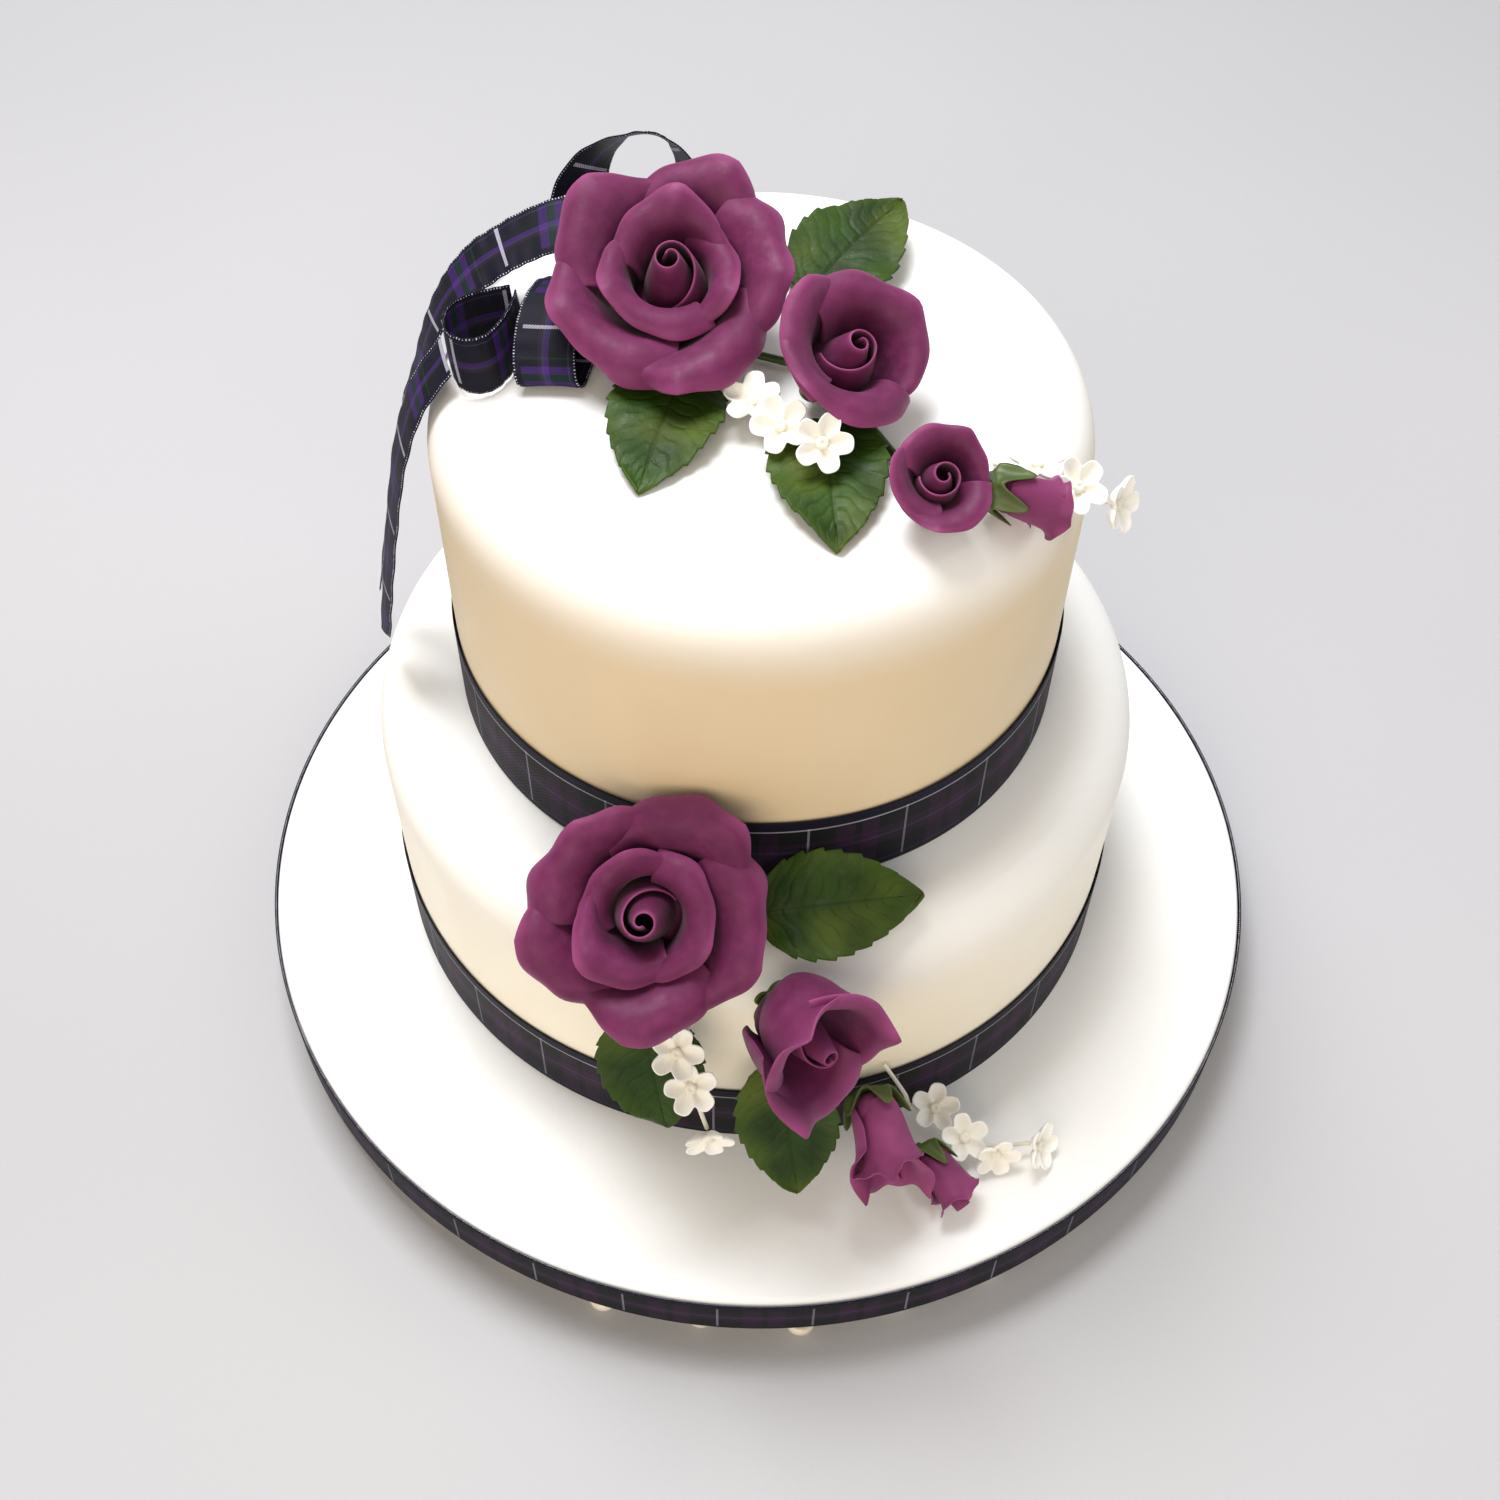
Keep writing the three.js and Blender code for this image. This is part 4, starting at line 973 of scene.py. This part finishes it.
OPEN_CALYX = {"cup": 3.4, "tip": 9, "rise": 2.2, "notch": 1.4}
SMALL_CALYX = {"cup": 2.6, "tip": 6.6, "rise": 0.9, "notch": 1}
TUBE_CALYX = {"cup": 4.9, "tip": 7, "rise": 8, "notch": 0.8}
WIDE_TUBE_CALYX = {"cup": 5.6, "tip": 10, "rise": 7.5, "notch": 1}
LEAF = {"width": 14.5, "teeth": 9, "bite": 0.075, "fold": 1.6, "droop": 2.2, "wave": 0.9, "crimp": 0.4,
        "thickness": 0.765, "vein": 0.32, "vein_width": 0.01, "midrib_width": 0.036, "narrowest": 0.4}
BLOSSOM = {"radius": 7, "notch": 4.6, "cup": 2.2, "hollow": 1, "dent": 0.55, "thickness": 1.1, "root": 2.2}
WIRE_RADIUS = 0.6
STALK_RADIUS = 1


def five_fold(angle):
    """How near each direction is to one of five middles, from 1 on a middle to 0 between two."""
    return 0.5 + 0.5 * np.cos(5 * angle)


def round_sheet(height, reach, thickness, sides=160):
    """A closed round sheet: reach(angle) is its outline and height(share, angle) its face."""
    rings = 14
    shares = np.concatenate([np.linspace(0.04, 0.94, rings), [0.975, 1]])
    swell = np.concatenate([np.ones(rings), [0.75, 0]])[:, None]
    share, angle = np.meshgrid(shares, circle(sides), indexing="ij")
    z = height(share, angle)
    half = thickness / 2
    points = [
        polar(share * reach(angle), angle, z + side * swell).reshape(-1, 3) for side in (half, -half)
    ]
    upper = np.roll(tube_faces(len(shares), sides)[:, ::-1], 1, 1)
    faces = np.concatenate([upper, upper[:, ::-1] + share.size])
    first_of_rim = 2 * share.size - sides
    faces = np.where(faces >= first_of_rim, faces - share.size, faces)
    heart = float(z[0].mean())
    middle, inmost = 2 * share.size, np.arange(sides)
    ends = [[0, 0, heart + half], [0, 0, heart - half]]
    return {
        "points": np.concatenate([*points, ends]), "faces": faces,
        "caps": np.concatenate([fan(middle, inmost), fan(middle + 1, inmost + share.size, flipped=True)]),
        "rim": np.concatenate([share.reshape(-1), share.reshape(-1), [0, 0]]),
    }


def calyx_shell(size):
    """Five blunt sepals that hold the back of a flower, on a short root."""
    cup, tip, rise = size["cup"], size["tip"], size["rise"]
    valley = cup + size["notch"]

    def reach(angle):
        return mix(valley, tip, five_fold(angle) ** 0.8)

    def height(share, angle):
        inner = cup * 0.75
        outer = np.clip((share * reach(angle) - inner) / (tip - inner), 0, 1)
        return -GAP - 0.5 + rise * outer ** 0.8 * mix(0.15, 1, five_fold(angle))

    root = [[0, -2.2], [0.7, -2.2], [1.1, -1.6], [1.6, -0.9], [0, -0.6]]
    return joined([round_sheet(height, reach, 1), turned([[r, z - GAP] for r, z in root], 20)])


def leaf_shell(length, seed):
    """A pointed, toothed leaf about its midrib, with its side veins pressed in."""
    phase = chance(seed) * 2 * math.pi
    veins = LEAF["teeth"] + 1

    def vein_depth(u, v):
        side = np.abs(u)
        lean = 0.2 * side ** 1.2 + 0.014 * np.sin(11 * side + phase + 5 * np.sign(u))
        lane = (v - lean + 0.02) * veins * 1.08 + 0.22 * np.sin(5 * v + phase * 1.7)
        away = np.abs(lane - np.round(lane)) / veins
        branch = bell(away, LEAF["vein_width"]) * np.clip((1 - v) * 6, 0, 1) * np.clip(side * 8, 0, 1)
        return np.maximum(bell(side, LEAF["midrib_width"]), branch * (1 - 0.5 * side))

    def surface(u, v):
        side = np.abs(u)
        outline = 2.5 * np.sqrt(v) * (1 - v) ** 0.92
        place = (v * LEAF["teeth"] + 0.35) % 1
        tooth = 1 - LEAF["bite"] * (1 - place) * np.clip((1 - v) * 5, 0, 1) * np.clip(v * 8, 0, 1)
        half = np.maximum(LEAF["narrowest"], LEAF["width"] * outline * tooth)
        rise = LEAF["fold"] * side * outline + LEAF["wave"] * side ** 2 * np.sin(9 * v + phase + u)
        rise -= LEAF["droop"] * (2 * v - 1) ** 2
        rise += LEAF["crimp"] * side ** 2 * np.sin(23 * v + 2 * phase + 2 * u)
        rise -= LEAF["vein"] * vein_depth(u, v) * np.clip(half / 3, 0, 1)
        forward = length * v * (1 + 0.1 * side ** 2 * (1 - v))
        return np.stack([u * half, forward, rise], -1)

    return thin_sheet(surface, (46, 120), (0.03, 0.01), LEAF["thickness"],
                      vein=vein_depth, rim=lambda u, v: np.abs(u))


def make_leaf(node, base, tip, face, seed, finish):
    """A leaf from its base to its tip, with its upper side towards face."""
    base, tip, face = (np.array(x, float) for x in (base, tip, face))
    along = unit(tip - base)
    up = unit(face - along * (face @ along))
    shell = moved(leaf_shell(np.linalg.norm(tip - base), seed), (np.cross(along, up), along, up), base)
    make_piece(node.replace("leaf", "rose_leaf"), shell, finish, node)


def blossom_shell():
    """Five rounded petals, each a little hollow, round a raised middle."""
    def reach(angle):
        return mix(BLOSSOM["notch"], BLOSSOM["radius"], (1 - (1 - five_fold(angle)) ** 1.9) ** 0.75)

    def height(share, angle):
        hollow = BLOSSOM["hollow"] * five_fold(angle) * np.sin(math.pi * share)
        dent = BLOSSOM["dent"] * (1 - five_fold(angle)) ** 3 * share
        return BLOSSOM["cup"] * share ** 1.6 - hollow - dent - GAP

    heart = [[0, -0.4], [1.5, -0.2], [1.6, 0.4], [1.25, 1.0], [0.6, 1.15], [0.3, 0.85], [0, 0.8]]
    root = [[0, -BLOSSOM["root"]], [0.5, 0.1 - BLOSSOM["root"]], [1.2, -1.2], [1.9, -0.5], [0, -0.2]]
    face = round_sheet(height, reach, BLOSSOM["thickness"], sides=120)
    # The heart and root sit at 0.3 and 0.2 on the finish's ramp, in its painted cream shade.
    return joined([face, turned(heart, 24, 0.3), turned(root, 20, 0.2)])


def tube_shell(places, radius):
    """A round wire through the places, with rounded ends."""
    line = spline(places, np.linspace(0, 1, 14 * len(places)))
    ahead = unit(np.gradient(line, axis=0))
    side = unit(np.cross(ahead, [0.3, 0.5, 0.8]))
    sides = 12
    x, y = polar(radius, circle(sides), 0)[:, :2].T[..., None]
    rings = line[:, None] + side[:, None] * x + np.cross(ahead, side)[:, None] * y
    first, around, bulge = len(line) * sides, np.arange(sides), 0.8 * radius
    ends = [line[0] - ahead[0] * bulge, line[-1] + ahead[-1] * bulge]
    return {
        "points": np.concatenate([rings.reshape(-1, 3), ends]), "faces": tube_faces(len(line), sides),
        "caps": np.concatenate([fan(first, around, flipped=True), fan(first + 1, first - sides + around)]),
    }


def make_spray(name, lead_in, blossoms, finish, wire):
    """Blossoms on one fine wire that leads in, then runs close behind each of them."""
    places = list(lead_in)
    behind = BLOSSOM["root"] + GAP + WIRE_RADIUS
    for i, (base, face, spin) in enumerate(blossoms, 1):
        shell = standing(blossom_shell(), base, face, spin)
        make_piece(f"{name}_flower_{i}", shell, finish, f"{name}_blossom_{i}")
        places.append(np.array(base, float) - unit(face) * behind)
    make_piece(f"{name}_stem", tube_shell(places, WIRE_RADIUS), wire, f"{name}_wire")


# ---- assembly

make_camera()
make_surroundings()

IVORY_ICING = icing_finish("ivory_icing", shade(248, 241, 226), shade(244, 235, 214), LOWER_TOP)
# Painted shade: the upper tier has the same ivory icing as the lower, in a darker, warmer copy that paints
# the shade on its walls.
SHADED_IVORY_ICING = icing_finish("shaded_ivory_icing", shade(232, 212, 178), shade(226, 205, 168), UPPER_TOP)
WHITE_ICING = icing_finish("white_icing", shade(246, 246, 245), shade(244, 243, 240), BOARD_TOP)
PLUM_PASTE = petal_finish()
LEAF_PASTE = leaf_finish()
CALYX_PASTE = calyx_finish()
BLOSSOM_PASTE = blossom_finish()
WIRE = wire_finish()
WIDE_TARTAN = tartan_finish("wide_tartan", BAND_WARP, BAND_WEFT, BAND["width"])
NARROW_TARTAN = tartan_finish("narrow_tartan", BOW_WARP, BOW_WEFT, BOW["width"])
BOARD_TARTAN = tartan_finish("board_tartan", BOARD_WARP, BAND_WEFT, BAND["board_width"])

make_stand(stand_finish())
make_board(board_finish(), WHITE_ICING)
make_tier("lower_cake", LOWER_TIER, BOARD_TOP, IVORY_ICING, "tier_lower", 60)
make_tier("upper_cake", UPPER_TIER, LOWER_TOP, SHADED_IVORY_ICING, "tier_upper", 80)

make_band("board_trim", BOARD["radius"], STAND["height"] + 0.4, BAND["board_width"], (0, 0),
          BOARD_TARTAN, "board_ribbon", 1)
make_band("lower_trim", LOWER_TIER["radius"], BOARD_TOP + GAP, BAND["width"], LOWER_TIER["centre"],
          WIDE_TARTAN, "tier_lower_ribbon", 2)
make_band("upper_trim", UPPER_TIER["radius"], LOWER_TOP + GAP, BAND["width"], UPPER_TIER["centre"],
          WIDE_TARTAN, "tier_upper_ribbon", 3)

# The base and the axis of each flower that a calyx holds.
TOP_MEDIUM = ([13.6, -1.2, 218.9], [0.33, -0.34, 0.88])
TOP_SMALL = ([36.8, -36.5, 218.6], [0.15, -0.5, 0.85])
TOP_BUD = ([50.3, -39, 222.4], [0.93, 0, -0.36])
LOW_MEDIUM = ([4.5, -106.5, 110], [0.566, -0.784, 0.246])
LOW_BUD_UPPER = ([32.3, -102, 53.2], [0.224, -0.969, -0.099])
LOW_BUD_LOWER = ([47.6, -111, 38], [0.62, -0.76, -0.2])

for node, plan, (base, axis), spin in (
    ("top_rose_large", LARGE_ROSE, ([-23.5, 24.8, 217.9], [-0.02, -0.4, 0.916]), 0),
    ("top_rose_medium", MEDIUM_ROSE, TOP_MEDIUM, 0),
    ("top_rose_small", SMALL_ROSE, TOP_SMALL, 0),
    ("top_bud", SLIM_BUD, TOP_BUD, 0),
    ("low_rose_large", LARGE_ROSE, ([-27, -83.2, 117.7], [-0.02, -0.68, 0.73]), 130),
    ("low_rose_medium", GOBLET_ROSE, LOW_MEDIUM, 0),
    ("low_bud_upper", FULL_BUD, LOW_BUD_UPPER, 0),
    ("low_bud_lower", SLIM_BUD, LOW_BUD_LOWER, 0),
):
    make_piece("sugar_" + node, standing(flower_shell(plan), base, axis, spin), PLUM_PASTE, node)

for node, size, (base, axis), spin in (
    ("top_rose_medium_calyx", OPEN_CALYX, TOP_MEDIUM, 0),
    ("top_rose_small_calyx", SMALL_CALYX, TOP_SMALL, 10),
    ("top_bud_calyx", TUBE_CALYX, TOP_BUD, 0),
    ("low_rose_medium_calyx", SMALL_CALYX, LOW_MEDIUM, 0),
    ("low_bud_upper_calyx", WIDE_TUBE_CALYX, LOW_BUD_UPPER, 0),
    ("low_bud_lower_calyx", TUBE_CALYX, LOW_BUD_LOWER, 0),
):
    make_piece("sugar_" + node, standing(calyx_shell(size), base, axis, spin), CALYX_PASTE, node)

for node, base, tip, face, seed in (
    ("top_leaf_back", [8, 33, 218.3], [33, 64, 226], [0, -0.25, 0.97], 3),
    ("top_leaf_left", [-20.5, 3, 219.5], [-29.5, -37, 218], [0, -0.1, 1], 4),
    ("top_leaf_front", [12, -13, 219.5], [16, -54, 218], [0, -0.1, 1], 5),
    ("low_leaf_right", [0, -88, 122.2], [42, -82.5, 124.2], [0, -0.5, 0.87], 6),
    ("low_leaf_left", [-29, -105.4, 101], [-22.5, -121, 66], [0, -0.85, 0.5], 7),
    ("low_leaf_front", [7, -107.5, 79], [13, -127.5, 42], [0, -0.85, 0.5], 8),
):
    make_leaf(node, base, tip, face, seed, LEAF_PASTE)

for side, places in (
    ("left", [[-11, 14, 216.5], [4, 9, 216.5], [9, 7, 216.5]]),
    ("right", [[21.5, -9, 216.5], [27, -19, 216.5], [32, -28, 216.5]]),
):
    shell = tube_shell(places, STALK_RADIUS)
    make_piece(f"top_stalk_{side}", shell, CALYX_PASTE, f"top_twig_{side}")

# Each blossom is its base, the way it faces and its spin.
for name, lead_in, blossoms in (
    ("top_left", [[-5, -1, 216.2]], [
        ([-4, -11.6, 222.2], [-0.2, -0.2, 0.96], 10), ([2.6, -22.6, 224.6], [-0.1, -0.6, 0.8], 40),
        ([12, -29.6, 225.8], [0.15, -0.7, 0.7], 0),
    ]),
    ("top_right", [[52, -24.5, 216]], [
        ([61.6, -26.2, 218.3], [0, -0.1, 0.99], 20), ([71.2, -29.5, 214.2], [0.3, -0.5, 0.8], 50),
        ([82, -27.4, 207], [0.8, -0.5, 0.3], 0),
    ]),
    ("low_left", [[-9, -101.9, 106]], [
        ([-19.3, -115.5, 99], [0.1, -0.7, 0.7], 0), ([-15.7, -120, 89], [0.1, -0.7, 0.7], 30),
        ([-11.5, -120, 60.5], [0.15, -0.95, -0.1], 0),
    ]),
    ("low_right", [[36, -96.4, 60], [43, -95, 41], [46, -95, 32.6]], [
        ([52, -96.5, 35.5], [0, -0.3, 0.9], 10), ([60, -105, 34.5], [0.1, -0.4, 0.9], 30),
        ([68.6, -110, 35], [0.2, -0.8, 0.2], 0), ([81, -107, 35], [0.7, -0.4, 0.4], 0),
    ]),
):
    make_spray(name, lead_in, blossoms, BLOSSOM_PASTE, WIRE)

# The bow beside the large rose on the top tier: each route is its middles, with the direction across.
SIDEWAYS = [1, 0, 0]
UPRIGHT = [-0.1, 0.15, 0.98]
SLANTED = [-0.33, 0.92, 0.2]
HANGING = [-0.21, 0.97, -0.1]
DRAPED = [-0.29, 0.957, 0]
for seed, (node, route, held_on, pointed) in enumerate((
    ("bow_loop_front", [
        ([-46, 31, 224], [1, 0.1, 0]), ([-49.5, 23.5, 228.5], [1, 0.1, 0]), ([-52, 14.5, 229], SIDEWAYS),
        ([-53.3, 7, 227], SIDEWAYS), ([-53.7, 0.8, 223], SIDEWAYS), ([-53, -3, 219.2], SIDEWAYS),
        ([-52, -1.6, 216.3], SIDEWAYS), ([-50.5, 6, 216], SIDEWAYS), ([-49, 13, 216.4], SIDEWAYS),
    ], ["tier_upper"], 0),
    ("bow_loop_left", [
        ([x, y, 223], UPRIGHT) for x, y in (
            (-60.6, 15.6), (-61.6, 9), (-63.6, 3), (-66.5, -1.6), (-70.5, -3), (-74.6, -1), (-76.6, 4),
            (-75.6, 9.5), (-71.5, 13.5), (-66.5, 15.8), (-62.2, 17.2),
        )
    ], ["tier_upper"], 0),
    ("bow_loop_back", [
        ([-46, 41, 216.6], [0.99, 0.11, 0.08]), ([-49, 51, 230], [0.95, 0.25, -0.12]),
        ([-45, 57.5, 239.5], [0.45, 0.65, -0.6]), ([-36, 59.5, 245], [0, 0.83, -0.55]),
        ([-28, 59.5, 244.5], [-0.05, 0.83, -0.55]), ([-21, 57, 236], [-0.5, 0.75, -0.4]),
        ([-17, 55, 216.6], [-0.85, 0.5, 0.1]),
    ], ["tier_upper"], 0),
    ("bow_tail_long", [
        ([-41.5, 37, 235], [-0.1, 0.93, 0.35]), ([-47, 35.4, 236.6], [-0.13, 0.93, 0.35]),
        ([-53.5, 34, 236], [-0.13, 0.93, 0.35]), ([-61, 33, 233], [-0.2, 0.93, 0.3]),
        ([-67, 31.6, 230], SLANTED), ([-72.5, 30, 226.7], SLANTED), ([-77.4, 28, 222.7], [-0.35, 0.92, 0.05]),
        ([-81.1, 26, 218.4], [-0.36, 0.92, -0.1]), ([-85.4, 24, 210.3], [-0.34, 0.92, -0.2]),
        ([-89.3, 22, 199.7], [-0.3, 0.93, -0.22]), ([-93.9, 19.5, 188], [-0.25, 0.95, -0.18]),
        ([-98.5, 16.5, 168], HANGING), ([-103.5, 12.5, 148], HANGING), ([-108, 8.5, 125], HANGING),
    ], ["bow_loop_left"], 1),
    ("bow_tail_short", [
        (place, DRAPED) for place in (
            [-78.3, 6.8, 218], [-85.8, 3, 208.5], [-91.5, 0, 194], [-96.5, -2, 172], [-101, -4, 148],
            [-105, -5, 124],
        )
    ], ["bow_loop_left"], 1),
), 10):
    make_bow_ribbon(node, route, NARROW_TARTAN, seed, pointed)
make_knot(NARROW_TARTAN)
